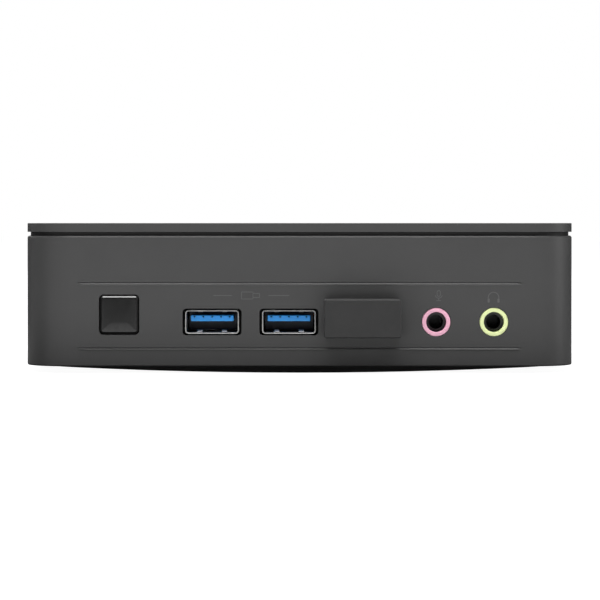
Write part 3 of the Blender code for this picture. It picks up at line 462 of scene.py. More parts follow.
def rim_arc(radius, z, turn, steps=4):
    """Insets and heights round an outer edge. Turn 1 ends at an upper face `z`, -1 starts at a lower one."""
    points = [(radius * (1 - cos(a)), z - turn * radius * (1 - sin(a)))
              for a in (pi / 2 * i / steps for i in range(steps + 1))]
    return points if turn > 0 else points[::-1]


def rim_chamfer(inward, down, z):
    """Insets and heights over a chamfered upper edge whose corners are eased."""
    ease = 0.15 * down
    return [(0, z - down - ease), (ease / 2, z - down), (inward, z - ease / 2), (inward + ease, z)]


def case_wall():
    """The moulded ring of walls with its rounded edges, windows, grooves, vents, screw posts and ledges."""
    low, high = CASE_LOW.z, CASE_HIGH.z
    inset, step = 0.5 * MM, 1.0 * MM  # the rebate that the dark neck sits in
    profile = rim_arc(0.35 * MM, low, -1) + rim_chamfer(0.3 * MM, 0.34 * MM, high)
    profile += [(inset, high), (inset, high - step), (WALL, high - step), (WALL, low)]
    wall = skin([case_loop(inward, z) for inward, z in profile], ring=True)
    wall = shaped(wall, screw_posts() + board_ledges() + [bead(z) for z in LINE_ZS], "UNION")
    cutters = front_windows() + [groove(z) for z in LINE_ZS]
    cutters += side_openings() + rear_opening() + screw_bores()
    piece("case_wall", shaped(wall, cutters), GREY, stands_for=["case_shell"])


def front_windows():
    """The windows for the key, the sockets, the cap's collar and the audio rings."""
    windows = [("power_button", box_of(4.92 * MM, 4.92 * MM, 1.1 * MM), 0.1 * MM)]
    windows += [(f"{name}_shell", box_of(7.2 * MM, 3.26 * MM, 0.9 * MM), 0.12 * MM) for name in FRONT_USBS]
    windows.append(("dongle_cap", box_of(8.8 * MM, 4.4 * MM, 1.2 * MM), 0.15 * MM))
    windows += [(f"{name}_ring", round_of(3.56 * MM), 0.1 * MM) for name in JACKS]
    made = []
    for node, shape, radius in windows:
        at = centre(node)
        made.append(opening(facing("front", (at.x, FRONT, at.z)), shape, THROUGH, radius))
    return made


def along_line(z, reach, taper, section, end):
    """A solid along a front line, whose ends taper. `section(share)` is its outline in (v, depth)
    millimetres, with a share of 1 between the tapers and of `end` at the ends."""
    place = facing("front", (0, FRONT, z))
    stations = ((-reach, end), (taper - reach, 1), (reach - taper, 1), (reach, end))
    return skin([[place(u, v * MM, depth * MM) for v, depth in section(share)] for u, share in stations])


def groove(z):
    """The cutter for a line's groove: a steep upper wall and a lower wall that slopes out to the light."""
    outline = [(0.2, -0.4), (0.2, 0), (0.15, 0.3), (0.1, 0.3), (-0.02, 0), (-0.02, -0.4)]

    def section(share):
        return [(v * share, depth * share) for v, depth in outline]
    return along_line(z, 54.5 * MM, 0.8 * MM, section, 0.1)


def bead(z):
    """The slight bead along a groove's lower lip. Only what stands proud of the wall tapers."""
    outline = [(0.0, 0.3), (0.0, 0.02), (-0.24, -0.17), (-0.34, -0.17), (-0.75, 0.02), (-0.75, 0.3)]

    def section(share):
        return [(v, max(depth, depth * share)) for v, depth in outline]
    return along_line(z, 54.2 * MM, 0.9 * MM, section, 0.05)


def screw_spots():
    """Where the cover's four screws stand, as (x, y)."""
    spots = [centre(f"cover_screw_{end}_{side}") for end in ("front", "rear") for side in ("left", "right")]
    return [(spot.x, spot.y) for spot in spots]


def screw_posts():
    """Posts inside the corners for the cover's screws, each tied to its walls by two webs."""
    made = []
    web, radius, top, ease = 0.8 * MM, 3.6 * MM, 26 * MM, 0.2 * MM
    reach = CORNER - 1.5 * MM
    tall = top - POST_LOW
    profile = [(0, 0), (radius - ease, 0), (radius, ease), (radius, tall), (0, tall)]
    for x, y in screw_spots():
        made.append(turned(facing("under", (x, y, POST_LOW)), profile, 32))
        sx, sy = (1 if x > 0 else -1), (1 if y > MIDDLE_Y else -1)
        xs, ys = sorted((x, x + sx * reach)), sorted((y, y + sy * reach))
        made.append(block((xs[0], y - web, POST_LOW + MM), (xs[1], y + web, top - MM)))
        made.append(block((x - web, ys[0], POST_LOW + MM), (x + web, ys[1], top - MM)))
    return made


def screw_bores():
    """The cutters for the blind holes that the cover's screws turn into."""
    radius, deep = 1.25 * MM, 9.2 * MM
    profile = [(0, -MM), (radius, -MM), (radius, deep), (0, deep)]
    return [turned(facing("under", (x, y, POST_LOW)), profile, 24) for x, y in screw_spots()]


def board_ledges():
    """Four shelves on the side walls that the circuit board lies on."""
    half_wide, thick = 4 * MM, 2.3 * MM
    made = []
    for side in (-1, 1):
        xs = sorted((side * 54.5 * MM, side * (SIDE - 1.5 * MM)))
        for y in LEDGE_YS:
            made.append(block((xs[0], y - half_wide, BOARD_LOW - thick), (xs[1], y + half_wide, BOARD_LOW)))
    return made


def side_openings():
    """A row of upright slots low in each side, and the lock slot on the left one."""
    slots, pitch, height = 16, 4.2 * MM, 14 * MM
    slot = box_of(1.0 * MM, 4.5 * MM, 0.95 * MM, 5)
    made = []
    for direction, x in (("left", -SIDE), ("right", SIDE)):
        row = [opening(facing(direction, (x, MIDDLE_Y + (i - (slots - 1) / 2) * pitch, height)),
                       slot, THROUGH, 0.2 * MM) for i in range(slots)]
        made.append(merged(row))
    made.append(opening(facing("left", (-SIDE, 49.5 * MM, 23.6 * MM)),
                        box_of(3.5 * MM, 1.6 * MM, 0.8 * MM), THROUGH, 0.2 * MM))
    return made


def rear_opening():
    """The rear window, and the rebate behind it that the panel lies in."""
    place = facing("back", (0, BACK, 18 * MM))
    window = opening(place, box_of(54 * MM, 13 * MM, 1.2 * MM), THROUGH, 0.3 * MM)
    rebate = tunnel(place, box_of(55.4 * MM, 13.8 * MM, 1.2 * MM), [(1.2 * MM, 0), (THROUGH, 0)])
    return [window, rebate]


def lid():
    """The lid: softly rounded top edge, a small lower edge, a shallow recess beneath and four hooks."""
    recess_inset, recess_depth = 3.5 * MM, MM
    profile = [(recess_inset, LID_UNDER + recess_depth), (recess_inset, LID_UNDER)]
    profile += rim_arc(0.06 * MM, LID_UNDER, -1) + rim_arc(0.16 * MM, LID_HIGH.z, 1)
    cover = skin([case_loop(inset, z) for inset, z in profile])
    half_long, half_thick, root = 4 * MM, 0.6 * MM, 1.5 * MM
    hooks = [block((x - half_long, y - half_thick, LID_LOW.z),
                   (x + half_long, y + half_thick, LID_UNDER + root), 0.15 * MM) for x, y in hook_spots()]
    piece("lid", shaped(cover, [merged(hooks)], "UNION"), GREY, stands_for=["top_lid"])


def hook_spots():
    """Where the lid's four hooks go down, as (x, y)."""
    return [(sx * 48 * MM, MIDDLE_Y + sy * 50 * MM) for sx in (-1, 1) for sy in (-1, 1)]


def neck():
    """The dark inner frame: its edge is the neck between case and lid, and its posts hold the board down."""
    low, inset, lap = CASE_HIGH.z - 0.7 * MM, 0.8 * MM, 0.02 * MM
    high = LID_UNDER + lap
    plate = skin([case_loop(inset, low), case_loop(inset, high)])
    fan = centre("fan_impeller")
    inlet = opening(facing("top", (fan.x, fan.y, high)), round_of(20 * MM), high - low + MM, 0.4 * MM)
    half_long, half_wide = 4.6 * MM, 1.2 * MM
    slots = [block((x - half_long, y - half_wide, low - MM),
                   (x + half_long, y + half_wide, LID_HIGH.z), 0.2 * MM) for x, y in hook_spots()]
    plate = shaped(plate, [inlet] + slots)
    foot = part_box("upper_frame")[0].z
    radius, ease, tall = 2.6 * MM, 0.2 * MM, low + MM - foot
    profile = [(0, 0), (radius - ease, 0), (radius, ease), (radius, tall), (0, tall)]
    posts = [turned(facing("under", (x, y, foot)), profile, 32)
             for x in (-52 * MM, 52 * MM) for y in LEDGE_YS]
    piece("neck_frame", shaped(plate, posts, "UNION"), NECK, stands_for=["upper_frame"])


# ---------------- front controls


def power_key():
    """A glossy square key with flat chamfers. The lower part of its face curls under a little. Its upper
    chamfer carries a painted highlight, the rest painted shade.
    """
    at = centre("power_button")
    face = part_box("power_button")[0].y
    place = facing("front", (at.x, face, at.z))
    half, corner, deep, rings = 4.84 * MM, 1.0 * MM, 6 * MM, 16
    flat = -0.72 * MM  # the face's outline, inside the chamfer
    shape = box_of(half, half, corner, 6)

    def curl(u, v):
        """How far the face falls back: nothing above a shallow arc, then more and more."""
        start = -0.36 * half - 0.14 * half * (u / half) ** 2
        return 0.3 * MM * (max(start - v, 0) / half) ** 1.5

    sides = ((deep, 0), (0.72 * MM, 0), (0.62 * MM, -0.02 * MM), (0.12 * MM, -0.6 * MM))
    loops = [[place(u, v, depth) for u, v in shape(grow)] for depth, grow in sides]
    for depth, grow in ((0.03 * MM, -0.62 * MM), (0, flat)):
        loops.append([place(u, v, depth + curl(u, v)) for u, v in shape(grow)])
    for share in (1 - i / rings for i in range(1, rings)):
        loops.append([place(u * share, v * share, curl(u * share, v * share)) for u, v in shape(flat)])
    painted_highlight_edge = half - 0.7 * MM  # above this the chamfer takes the lighter, more reflective copy of the gloss: a painted highlight
    # the upper chamfer keeps the lighter copy as a painted highlight; the face and the other chamfers take
    # the darker copy as painted shade
    piece("power_key", skin(loops), KEY_GLOSS_PAINTED_HIGHLIGHT, "power_button", ["power_button"],
          KEY_GLOSS_PAINTED_SHADE, lambda c: c.z - at.z < painted_highlight_edge and c.y < face + MM)
    for name, shade in (("switch_plunger", BLACK), ("power_switch", STEEL)):
        finish(name, shade)


def cap():
    """The soft cap: rounded edges, a faintly crowned face, a hollow behind and a collar into the case."""
    low, high, at = extent("dongle_cap")
    front = low.y
    proud = FRONT - front
    trim_u, trim_v = 0.1 * MM, 0.14 * MM  # half of what goes off the CAD's left side and off its top
    half_u, half_v = (high.x - low.x) / 2 - trim_u, (high.z - low.z) / 2 - trim_v
    place = facing("front", (at.x + trim_u, front, at.z - trim_v))
    outside, round_edge = box_of(half_u, half_v, 0.5 * MM, 5), 0.4 * MM
    collar, pocket = box_of(8.5 * MM, 4.1 * MM, 0.9 * MM, 5), box_of(7.5 * MM, 3.3 * MM, 0.5 * MM, 5)

    crown, rings = 0.06 * MM, 8
    loops = []
    for share in (i / rings for i in range(1, rings)):
        loops.append([place(u * share, v * share, crown * share ** 2) for u, v in outside(-round_edge)])
    stations = [(outside, grow, depth + 0.08 * MM) for depth, grow in edge(round_edge, 4)]
    stations += [(outside, 0, proud - 0.45 * MM), (outside, -0.12 * MM, proud - 0.3 * MM),
                 (collar, 0, proud - 0.3 * MM), (collar, 0, proud + 1.8 * MM),
                 (collar, -0.25 * MM, proud + 2.1 * MM), (pocket, 0.1 * MM, proud + 2.1 * MM),
                 (pocket, 0, proud + 1.9 * MM), (pocket, 0, 1.3 * MM)]
    loops += [[place(u, v, depth) for u, v in shape(grow)] for shape, grow, depth in stations]
    piece("dongle_cap_soft", skin(loops), RUBBER, "dongle_cap", ["dongle_cap"])


MARK_PROUD, MARK_SUNK, STROKE = -0.02 * MM, 0.1 * MM, 0.09 * MM  # a mark's depths and half its line width


def bar(place, *ends):
    """A straight stroke with round ends, between two points given as u, v, u, v in millimetres."""
    u0, v0, u1, v1 = (c * MM for c in ends)
    along = Vector((u1 - u0, v1 - v0))
    middle = Vector((u0 + u1, v0 + v1)) / 2
    angle = atan2(along.y, along.x)
    half = along.length / 2 + STROKE

    def shape(_grow):
        return [(middle.x + u * cos(angle) - v * sin(angle), middle.y + u * sin(angle) + v * cos(angle))
                for u, v in rounded(half, STROKE, STROKE * 0.98, 3)]
    return tunnel(place, shape, [(MARK_PROUD, 0), (MARK_SUNK, 0)])


def bow(place, radius, start, end, rise=0.0):
    """A stroke along an arc from `start` to `end` degrees, whose centre lies `rise` up. In millimetres."""
    section = [(-STROKE, MARK_PROUD), (STROKE, MARK_PROUD), (STROKE, MARK_SUNK), (-STROKE, MARK_SUNK)]
    radius, rise, steps = radius * MM, rise * MM, 24
    loops = []
    for i in range(steps + 1):
        a = radians(start + (end - start) * i / steps)
        loops.append([place((radius + r) * cos(a), rise + (radius + r) * sin(a), depth)
                      for r, depth in section])
    return skin(loops)


def marks():
    """Faint moulded pictograms over the sockets: a plug between two lines, a microphone, headphones."""
    usb = (centre("usb_left_shell").x + centre("usb_right_shell").x) / 2
    place = facing("front", (usb, FRONT, 19.1 * MM))
    strokes = [bar(place, *ends) for ends in (
        (-9, 0, -4.6, 0), (4.4, 0, 9.4, 0),
        (-2.2, -0.85, 0.6, -0.85), (-2.2, 0.85, 0.6, 0.85), (-2.2, -0.85, -2.2, 0.85),
        (0.6, -0.85, 0.6, 0.85), (0.6, -0.5, 2.2, -0.5), (0.6, 0.5, 2.2, 0.5), (2.2, -0.5, 2.2, 0.5))]
    piece("socket_mark", merged(strokes), INK)

    place = facing("front", (centre("mic_ring").x + 0.6 * MM, FRONT, 19.0 * MM))
    strokes = [bow(place, 0.4, 0, 180, 0.9), bow(place, 0.4, 180, 360, 0.3),
               bar(place, -0.4, 0.3, -0.4, 0.9), bar(place, 0.4, 0.3, 0.4, 0.9),
               bow(place, 0.85, 190, 350, 0.3), bar(place, 0, -0.65, 0, -1.1),
               bar(place, -0.5, -1.15, 0.5, -1.15)]
    piece("mic_mark", merged(strokes), INK)

    place = facing("front", (centre("headphone_ring").x - 0.1 * MM, FRONT, 18.6 * MM))
    pad, pad_u, pad_v = box_of(0.26 * MM, 0.5 * MM, 0.2 * MM, 3), 1.2 * MM, -0.75 * MM
    strokes = [bow(place, 1.3, -10, 190)]
    strokes += [tunnel(shifted(place, side * pad_u, pad_v), pad, [(MARK_PROUD, 0), (MARK_SUNK, 0)])
                for side in (-1, 1)]
    piece("headphone_mark", merged(strokes), INK)


# ---------------- carried-over nodes


def finish(name, shade, soften=0.0, second=None, where=None):
    """Gives a CAD node its material, or two of them, and eased edges."""
    obj = frame["nodes"][name]
    dress(obj, shade, second, where)
    if soften:
        bevel = obj.modifiers.new("eased", "BEVEL")
        bevel.width = soften
        bevel.segments = 2
        bevel.limit_method = "ANGLE"
        bevel.angle_limit = radians(50)
    keep_flat(obj)


# ---------------- USB sockets


MOUTH_U, MOUTH_V = 6.25 * MM, 2.575 * MM  # half the width and height inside a USB shell
NOSE = 1.2 * MM  # how far a tongue's end lies behind the mouth
TONGUE_LOW, TONGUE_HIGH = 0.17 * MM, 1.62 * MM  # above the mouth's middle
TONGUE_MIDDLE = (TONGUE_LOW + TONGUE_HIGH) / 2


def spring(place, u, v_wall, up, lift, back=0.0):
    """A pressed spring: rises from the shell's wall towards the mouth and curls back at its tip."""
    line = [(0, 6.5), (0.05, 5.2), (0.45 * lift, 3.9), (lift, 2.6), (0.95 * lift, 2.25), (0.6 * lift, 1.85),
            (0.12, 1.65)]
    line = [(v_wall + up * v * MM, back + depth * MM) for v, depth in line]
    return ribbon(shifted(place, u, 0), line, 0.6 * MM, 0.15 * MM)


def usb_springs(place, centres):
    """Two springs at each mouth's lower wall, and two flatter ones farther back at its upper wall."""
    made = []
    for v in centres:
        for u in (-3.0 * MM, 3.0 * MM):
            made.append(spring(place, u, v - MOUTH_V, 1, 0.6))
            made.append(spring(place, u, v + MOUTH_V, -1, 0.25, 2.5 * MM))
    return made


def usb_dimples(place, v):
    """The cutters for the five small dents in a fast tongue's end, one before each of its fine contacts."""
    dent = box_of(0.3 * MM, 0.2 * MM, 0.12 * MM, 3)
    return [tunnel(spot, dent, [(NOSE - 0.3 * MM, 0.04 * MM), (NOSE + 0.4 * MM, -0.04 * MM)])
            for spot in fast_spots(place, v)]


def fast_spots(place, v):
    """Where a fast tongue's five fine contacts come out of its end."""
    pitch = 2.15 * MM
    return [shifted(place, (i - 2) * pitch, v + TONGUE_MIDDLE + 0.4 * MM) for i in range(5)]


def usb_insert(place, centres, length, fast):
    """The insulator: a base behind the shell, a plug that fills its back, and a tongue in each mouth."""
    gap, corner = 0.3 * MM, 0.3 * MM
    half_u, half_v = MOUTH_U - gap, MOUTH_V - gap
    v0, v1 = min(centres) - half_v, max(centres) + half_v
    base = tunnel(shifted(place, 0, (v0 + v1) / 2), box_of(half_u, (v1 - v0) / 2, corner, 4),
                  [(length + gap, 0), (length + 1.7 * MM, 0)])
    plugs = [tunnel(shifted(place, 0, v), box_of(half_u, half_v, corner, 4),
                    [(12.5 * MM, 0), (length + MM, 0)]) for v in centres]
    blade = box_of(5.25 * MM, (TONGUE_HIGH - TONGUE_LOW) / 2, 0.25 * MM, 4)
    rounding = [(NOSE, -0.14 * MM), (NOSE + 0.05 * MM, -0.05 * MM), (NOSE + 0.15 * MM, 0), (13.5 * MM, 0)]
    tongues = [tunnel(shifted(place, 0, v + TONGUE_MIDDLE), blade, rounding) for v in centres]
    insert = shaped(base, plugs + tongues, "UNION")
    if fast:
        insert = shaped(insert, [merged([dent for v in centres for dent in usb_dimples(place, v)])])
    return insert


def usb_leaves(place, centres, fast):
    """Four contacts under each tongue and, in a fast socket, five fine ones in its end."""
    made = []
    for v in centres:
        under = v + TONGUE_LOW
        line = [(under - 0.02 * MM, 9 * MM), (under - 0.14 * MM, 5 * MM), (under, 3.1 * MM)]
        made += [ribbon(shifted(place, u * MM, 0), line, 0.5 * MM, 0.12 * MM) for u in (-3.5, -1.0, 1.0, 3.5)]
        if fast:
            line = [(-0.16 * MM, NOSE + 0.4 * MM), (0.02 * MM, NOSE + 0.2 * MM), (0.1 * MM, NOSE + 0.4 * MM)]
            made += [ribbon(spot, line, 0.16 * MM, 0.07 * MM) for spot in fast_spots(place, v)]
    return made


def usb_socket(name, direction, centres, tongue_shade, fast):
    """A steel shell with a mouth for each centre, its springs, its insulator and the contacts."""
    low, high, at = extent(f"{name}_shell")
    mouth = low.y if direction == "front" else high.y
    place = facing(direction, (at.x, mouth, at.z))
    half_u, half_v = (high.x - low.x) / 2 - 0.06 * MM, (high.z - low.z) / 2 - 0.05 * MM
    length, corner, ease = high.y - low.y, 0.85 * MM, 0.12 * MM
    shell = boss(place, box_of(half_u, half_v, corner), length, ease)
    mouths = [opening(shifted(place, 0, v), box_of(MOUTH_U, MOUTH_V, 0.5 * MM), length + MM, ease)
              for v in centres]
    piece(f"{name}_tube", shaped(shell, mouths), STEEL, stands_for=[f"{name}_shell"])

    painted_shade_depth = 12.4 * MM  # farther in than this, the insulator takes the darker copy of its blue: painted shade deep in the socket
    # faces of a fast insulator deep in the socket take the darker copy of its blue: painted shade
    piece(f"{name}_insulator", usb_insert(place, centres, length, fast), tongue_shade,
          stands_for=[f"{name}_insert"], second=BLUE_PAINTED_SHADE if fast else None,
          where=lambda c: abs(c.y - mouth) > painted_shade_depth)
    piece(f"{name}_springs", merged(usb_springs(place, centres)), BRIGHT)
    if direction == "front":
        gasket(name, box_of(half_u, half_v, corner), at)
    piece(f"{name}_contacts", merged(usb_leaves(place, centres, fast)), GOLD)


def gasket(name, shape, at):
    """A foam ring behind the window, round the shell, that keeps light and dust out."""
    place = facing("front", (at.x, FRONT + WALL, at.z))
    slack, wide, deep = 0.05 * MM, 0.75 * MM, 0.9 * MM
    ring = tube(place, shape, [(slack, slack), (slack, wide), (deep, wide), (deep, slack)])
    piece(f"{name}_gasket", ring, FOAM)


def usb_sockets():
    """Two at the front, a third behind the cap, and two stacks of two at the back."""
    for name in FRONT_USBS:
        usb_socket(name, "front", [0], BLUE, True)
    usb_socket("usb_hidden", "front", [0], BLACK, False)
    pitch = 4.3 * MM
    usb_socket("usb_rear_fast", "back", [-pitch, pitch], BLUE, True)
    usb_socket("usb_rear_basic", "back", [-pitch, pitch], BLACK, False)


# ---------------- other sockets


def audio_jack(name, ring_shade):
    """An audio socket's coloured ring, rounded at both edges of its face, and the dark jack in it."""
    low, high, at = extent(f"{name}_ring")
    place = facing("front", (at.x, low.y, at.z))
    radius, bore, length = (high.x - low.x) / 2 - 0.03 * MM, 2.47 * MM, high.y - low.y
    wall, outer, inner = radius - bore, 0.12 * MM, 0.1 * MM
    mouth = [(depth, grow - wall) for depth, grow in [(0, inner)] + lip(inner)]
    stations = [(length, 0)] + edge(outer)[::-1] + mouth + [(length, -wall)]
    piece(f"{name}_collar", tube(place, round_of(radius), stations), ring_shade,
          stands_for=[f"{name}_ring"])
    finish(f"{name}_jack", BLACK)


def video_contacts():
    """Fine contacts on both faces of the two flat video sockets' tongues."""
    count, proud, bulge = 10, 0.03 * MM, 0.08 * MM
    for name, pitch in (("hdmi", 1.0 * MM), ("displayport", 1.2 * MM)):
        low, high, at = extent(f"{name}_tongue")
        place = facing("back", (at.x, high.y, at.z))
        leaves = []
        for side in (-1, 1):
            v = side * (high.z - low.z) / 2
            line = [(v + side * proud, 0.4 * MM), (v + side * bulge, 1.0 * MM), (v + side * proud, 6 * MM)]
            for i in range(count):
                u = (i - (count - 1) / 2) * pitch
                leaves.append(ribbon(shifted(place, u, 0), line, 0.2 * MM, 0.1 * MM))
        piece(f"{name}_contacts", merged(leaves), GOLD)
        finish(f"{name}_tongue", BLACK, 0.1 * MM)
        finish(f"{name}_shell", STEEL, 0.12 * MM)


def lan_details():
    """The network socket's eight sprung wires, its two lamps and its shield."""
    low, high, at = extent("lan_port")
    place = facing("back", (at.x, high.y, low.z))
    count, pitch = 8, 1.02 * MM
    line = [(10.7, 1.6), (9.9, 2.0), (8.3, 4.5), (7.2, 7.5), (6.6, 10.5), (6.5, 13.5)]
    line = [(v * MM, depth * MM) for v, depth in line]
    wires = [ribbon(shifted(place, (i - (count - 1) / 2) * pitch, 0), line, 0.2 * MM, 0.16 * MM)
             for i in range(count)]
    piece("lan_wires", merged(wires), GOLD)
    shape, lens_u, lens_v = box_of(1.4 * MM, 0.9 * MM, 0.3 * MM, 3), 5.6 * MM, 1.7 * MM
    for name, side, shade in (("left", -1, LED_AMBER), ("right", 1, LED_GREEN)):
        lens = boss(shifted(place, side * lens_u, lens_v), shape, 2 * MM, 0.08 * MM)
        piece(f"lan_lamp_{name}", lens, shade)
    finish("lan_port", STEEL, 0.15 * MM)


def power_inlet():
    """The barrel inlet: a round nose on a square body, with its bore and a domed pin."""
    low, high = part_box("power_inlet")
    pin_low, pin_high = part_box("power_inlet_pin")
    axis = (pin_low + pin_high) / 2
    place = facing("back", (axis.x, high.y, axis.z))
    nose = boss(place, round_of(3.95 * MM), 6 * MM, 0.2 * MM)
    body = block((low.x, low.y, low.z), (high.x, high.y - 1.8 * MM, high.z), 0.2 * MM)
    bore = opening(place, round_of(3.15 * MM), 9 * MM, 0.25 * MM)
    inlet = shaped(shaped(body, [nose], "UNION"), [bore])
    piece("power_inlet_body", inlet, BLACK, stands_for=["power_inlet"])
    place = facing("back", (axis.x, pin_high.y, axis.z))
    radius, dome, steps = 1.2 * MM, 0.8 * MM, 8
    profile = [(radius * sin(a), dome * (1 - cos(a))) for a in (pi / 2 * i / steps for i in range(steps + 1))]
    profile.append((radius, pin_high.y - pin_low.y))
    piece("power_inlet_tip", turned(place, profile, 40), BRIGHT, stands_for=["power_inlet_pin"])


def rear_plate():
    """The painted steel panel: connector openings with softened edges and a row of exhaust slots."""
    low, high, at = extent("rear_panel")
    thick, clear, ease = high.y - low.y, 0.4 * MM, 0.1 * MM
    outline = box_of((high.x - low.x) / 2, (high.z - low.z) / 2, 0.6 * MM)
    plate = boss(facing("back", (at.x, high.y, at.z)), outline, thick, 0.08 * MM)

    def hole(x, z, shape):
        return opening(facing("back", (x, high.y, z)), shape, thick + MM, ease)

    cutters = []
    for name in ("hdmi_shell", "displayport_shell", "lan_port",
                 "usb_rear_fast_shell", "usb_rear_basic_shell"):
        a, b, middle = extent(name)
        half_u, half_v = (b.x - a.x) / 2 + clear, (b.z - a.z) / 2 + clear
        cutters.append(hole(middle.x, middle.z, box_of(half_u, half_v, 0.7 * MM)))
    pin = centre("power_inlet_pin")
    cutters.append(hole(pin.x, pin.z, round_of(4.3 * MM)))
    slots, pitch, slot = 17, 3.7 * MM, box_of(1.2 * MM, 2.8 * MM, 1.1 * MM, 5)
    middle = centre("fin_stack").x
    cutters.append(merged([hole(middle + (i - (slots - 1) / 2) * pitch, 27.6 * MM, slot)
                           for i in range(slots)]))
    piece("rear_plate", shaped(plate, cutters), PAINT, stands_for=["rear_panel"])


# ---------------- underside


def feet():
    """Rubber feet, each with a shallow dish in its sole and a rounded rim."""
    dish, ease, steps = 0.12 * MM, 0.5 * MM, 5
    for name in ("foot_front_left", "foot_front_right", "foot_rear_left", "foot_rear_right"):
        low, high, at = extent(name)
        radius = (high.x - low.x) / 2
        sole, rim = 0.88 * radius, 0.12 * radius  # where the flat sole ends, and the rounding past it
        profile = [(0, dish), (0.62 * radius, dish), (0.66 * radius, 0), (sole, 0)]
        profile += [(sole + rim * sin(a), ease * (1 - cos(a)))
                    for a in (pi / 2 * i / steps for i in range(1, steps + 1))]
        profile.append((radius, high.z - low.z))
        pad = turned(facing("under", (at.x, at.y, low.z)), profile)
        piece(f"{name}_pad", pad, FOOT, stands_for=[name])


# ---------------- what the case holds


def inside():
    """Materials for the CAD nodes inside the case and under it. What stands on a board is chip black."""
    hair = 0.01 * MM
    module_low, module_high = 4.98 * MM, 6.02 * MM  # just outside a memory module's board
    card_low = 5.38 * MM  # just under the cards' boards
    finish("motherboard", BOARD, 0, CHIP, lambda c: c.z > BOARD_HIGH + hair)
    for name in ("memory_module_front", "memory_module_rear"):
        finish(name, BOARD, 0, CHIP, lambda c: not module_low < c.z < module_high)
    for name in ("ssd_module", "wifi_module"):
        finish(name, BOARD, 0, CHIP, lambda c: c.z < card_low)
    finish("processor", CHIP, 0.1 * MM)
    for shade, names in (
            (COPPER, "cold_plate heat_pipe antenna_side antenna_front"),
            (ALUMINIUM, "fin_stack"),
            (BRIGHT, "fan_cover rtc_battery ssd_screw cover_screw_front_left cover_screw_front_right "
                     "cover_screw_rear_left cover_screw_rear_right"),
            (BLACK, "fan_housing fan_impeller memory_socket_front memory_socket_rear ssd_socket wifi_socket "
                    "antenna_lead_side antenna_lead_front"),
            (COVER, "bottom_cover")):
        for name in names.split():
            finish(name, shade)


# ---------------- stage, light, camera


def emission(name, strength, diffuse=None):
    """A material that glows, and that can also take the light that falls on it."""
    made = bpy.data.materials.new(name)
    made.use_nodes = True
    nodes, links = made.node_tree.nodes, made.node_tree.links
    nodes.clear()
    out = nodes.new("ShaderNodeOutputMaterial")
    glow = nodes.new("ShaderNodeEmission")
    glow.inputs["Strength"].default_value = strength
    last = glow.outputs["Emission"]
    if diffuse:
        white = nodes.new("ShaderNodeBsdfDiffuse")
        white.inputs["Color"].default_value = (diffuse, diffuse, diffuse, 1)
        both = nodes.new("ShaderNodeAddShader")
        links.new(last, both.inputs[0])
        links.new(white.outputs["BSDF"], both.inputs[1])
        last = both.outputs["Shader"]
    links.new(last, out.inputs["Surface"])
    return made


def stage_piece(name, bm, shade):
    """Puts in the scene what isn't part of the object."""
    obj = placed(name, bm)
    obj.data.materials.append(shade)
    return obj


def stage():
    """A pale floor that only the camera sees, and round the object pale sheets that only light it."""
    bm = bmesh.new()
    bmesh.ops.create_circle(bm, cap_ends=True, segments=96, radius=6)
    floor = stage_piece("floor", bm, emission("floor_pale", 0.96, 0.3))
    floor.visible_diffuse = floor.visible_glossy = floor.visible_transmission = floor.visible_shadow = False

    near, far, wing = 18 * MM, 210 * MM, 90 * MM
    long, short = SIDE + wing, HALF_DEPTH - near
    for direction, strength, half, at in (
            ("front", 2.3, long, (0, FRONT, 0)), ("back", 1.2, long, (0, BACK, 0)),
            ("left", 0.8, short, (-SIDE, MIDDLE_Y, 0)), ("right", 0.6, short, (SIDE, MIDDLE_Y, 0))):
        place = facing(direction, at)
        bm = bmesh.new()
        bm.faces.new([bm.verts.new(place(u, -MM, -reach)) for u, reach in
                      ((-half, near), (half, near), (half, far), (-half, far))])
        name = f"bounce_{direction}"
        sheet = stage_piece(name, bm, emission(f"{name}_pale", strength))
        sheet.visible_camera = sheet.visible_shadow = False


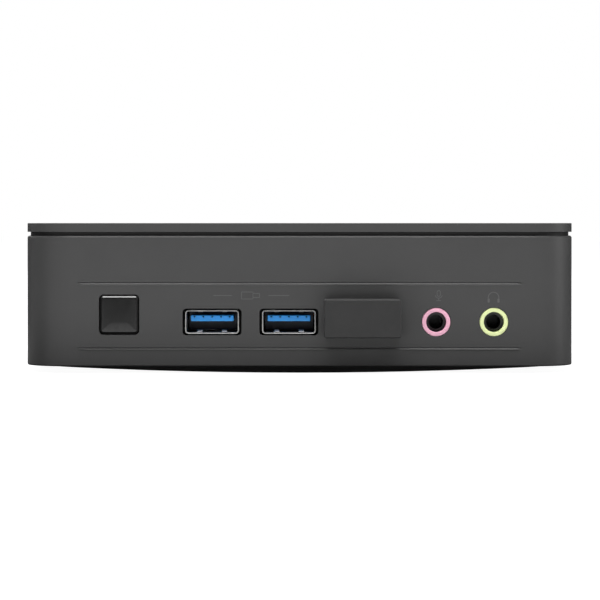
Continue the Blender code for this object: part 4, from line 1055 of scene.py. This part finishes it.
def world():
    """White to the camera; to the object, a pale sky that darkens below the horizon."""
    made = bpy.data.worlds.new("studio")
    bpy.context.scene.world = made
    made.use_nodes = True
    nodes, links = made.node_tree.nodes, made.node_tree.links
    nodes.clear()
    out = nodes.new("ShaderNodeOutputWorld")
    place = nodes.new("ShaderNodeTexCoord")
    split = nodes.new("ShaderNodeSeparateXYZ")
    links.new(place.outputs["Generated"], split.inputs["Vector"])
    ramp = nodes.new("ShaderNodeValToRGB")
    stops = ramp.color_ramp.elements
    stops[0].position, stops[0].color = 0.48, (0.02, 0.02, 0.02, 1)
    stops[1].position, stops[1].color = 0.62, (0.14, 0.14, 0.142, 1)
    shift = nodes.new("ShaderNodeMapRange")
    shift.inputs["From Min"].default_value = -1
    links.new(split.outputs["Z"], shift.inputs["Value"])
    links.new(shift.outputs["Result"], ramp.inputs["Fac"])
    light = nodes.new("ShaderNodeBackground")
    links.new(ramp.outputs["Color"], light.inputs["Color"])
    light.inputs["Strength"].default_value = 1.0
    seen = nodes.new("ShaderNodeBackground")
    seen.inputs["Color"].default_value = (1, 1, 1, 1)
    mix = nodes.new("ShaderNodeMixShader")
    path = nodes.new("ShaderNodeLightPath")
    links.new(path.outputs["Is Camera Ray"], mix.inputs["Fac"])
    links.new(light.outputs["Background"], mix.inputs[1])
    links.new(seen.outputs["Background"], mix.inputs[2])
    links.new(mix.outputs["Shader"], out.inputs["Surface"])


def soft_box(name, at, size, watts):
    """An area light aimed at the object's middle."""
    data = bpy.data.lights.new(name, "AREA")
    data.shape, data.size, data.size_y, data.energy = "RECTANGLE", *size, watts
    obj = bpy.data.objects.new(name, data)
    obj.location = at
    middle = Vector((0, 0, 18 * MM))
    obj.rotation_euler = (middle - Vector(at)).to_track_quat("-Z", "Y").to_euler()
    bpy.context.scene.collection.objects.link(obj)


def lights():
    soft_box("light_top", (0, -0.31, 1.05), (1.0, 0.8), 21)
    soft_box("light_front_left", (-1.2, -0.8, 0.45), (0.6, 0.6), 2.2)
    soft_box("light_front_right", (1.1, -0.8, 0.5), (0.6, 0.8), 1.2)
    soft_box("light_right", (1.2, 0.0, 0.3), (0.4, 0.5), 4.4)
    soft_box("light_left", (-1.1, 0.6, 0.5), (0.5, 0.5), 2)
    soft_box("light_back", (-0.3, 1.3, 0.8), (0.9, 0.6), 8)


def camera():
    """A level view of the front from the height of the lid's upper face."""
    distance, field, middle_z, aside = 735 * MM, 146.6 * MM, 18.0 * MM, 0.1 * MM
    sensor = 36  # millimetres, as the lens is
    data = bpy.data.cameras.new("camera")
    data.sensor_width = sensor
    data.lens = sensor * distance / field
    data.shift_y = (middle_z - LID_HIGH.z) / field
    data.clip_start = 0.01
    obj = bpy.data.objects.new("camera", data)
    obj.location = (aside, FRONT - distance, LID_HIGH.z)
    obj.rotation_euler = (pi / 2, 0, 0)
    bpy.context.scene.collection.objects.link(obj)
    bpy.context.scene.camera = obj
    bpy.context.scene.view_settings.view_transform = "Standard"


# ---------------- everything

camera()
case_wall()
lid()
neck()
power_key()
cap()
marks()
usb_sockets()
audio_jack("mic", PINK)
audio_jack("headphone", LIME)
video_contacts()
lan_details()
power_inlet()
rear_plate()
feet()
inside()
stage()
world()
lights()
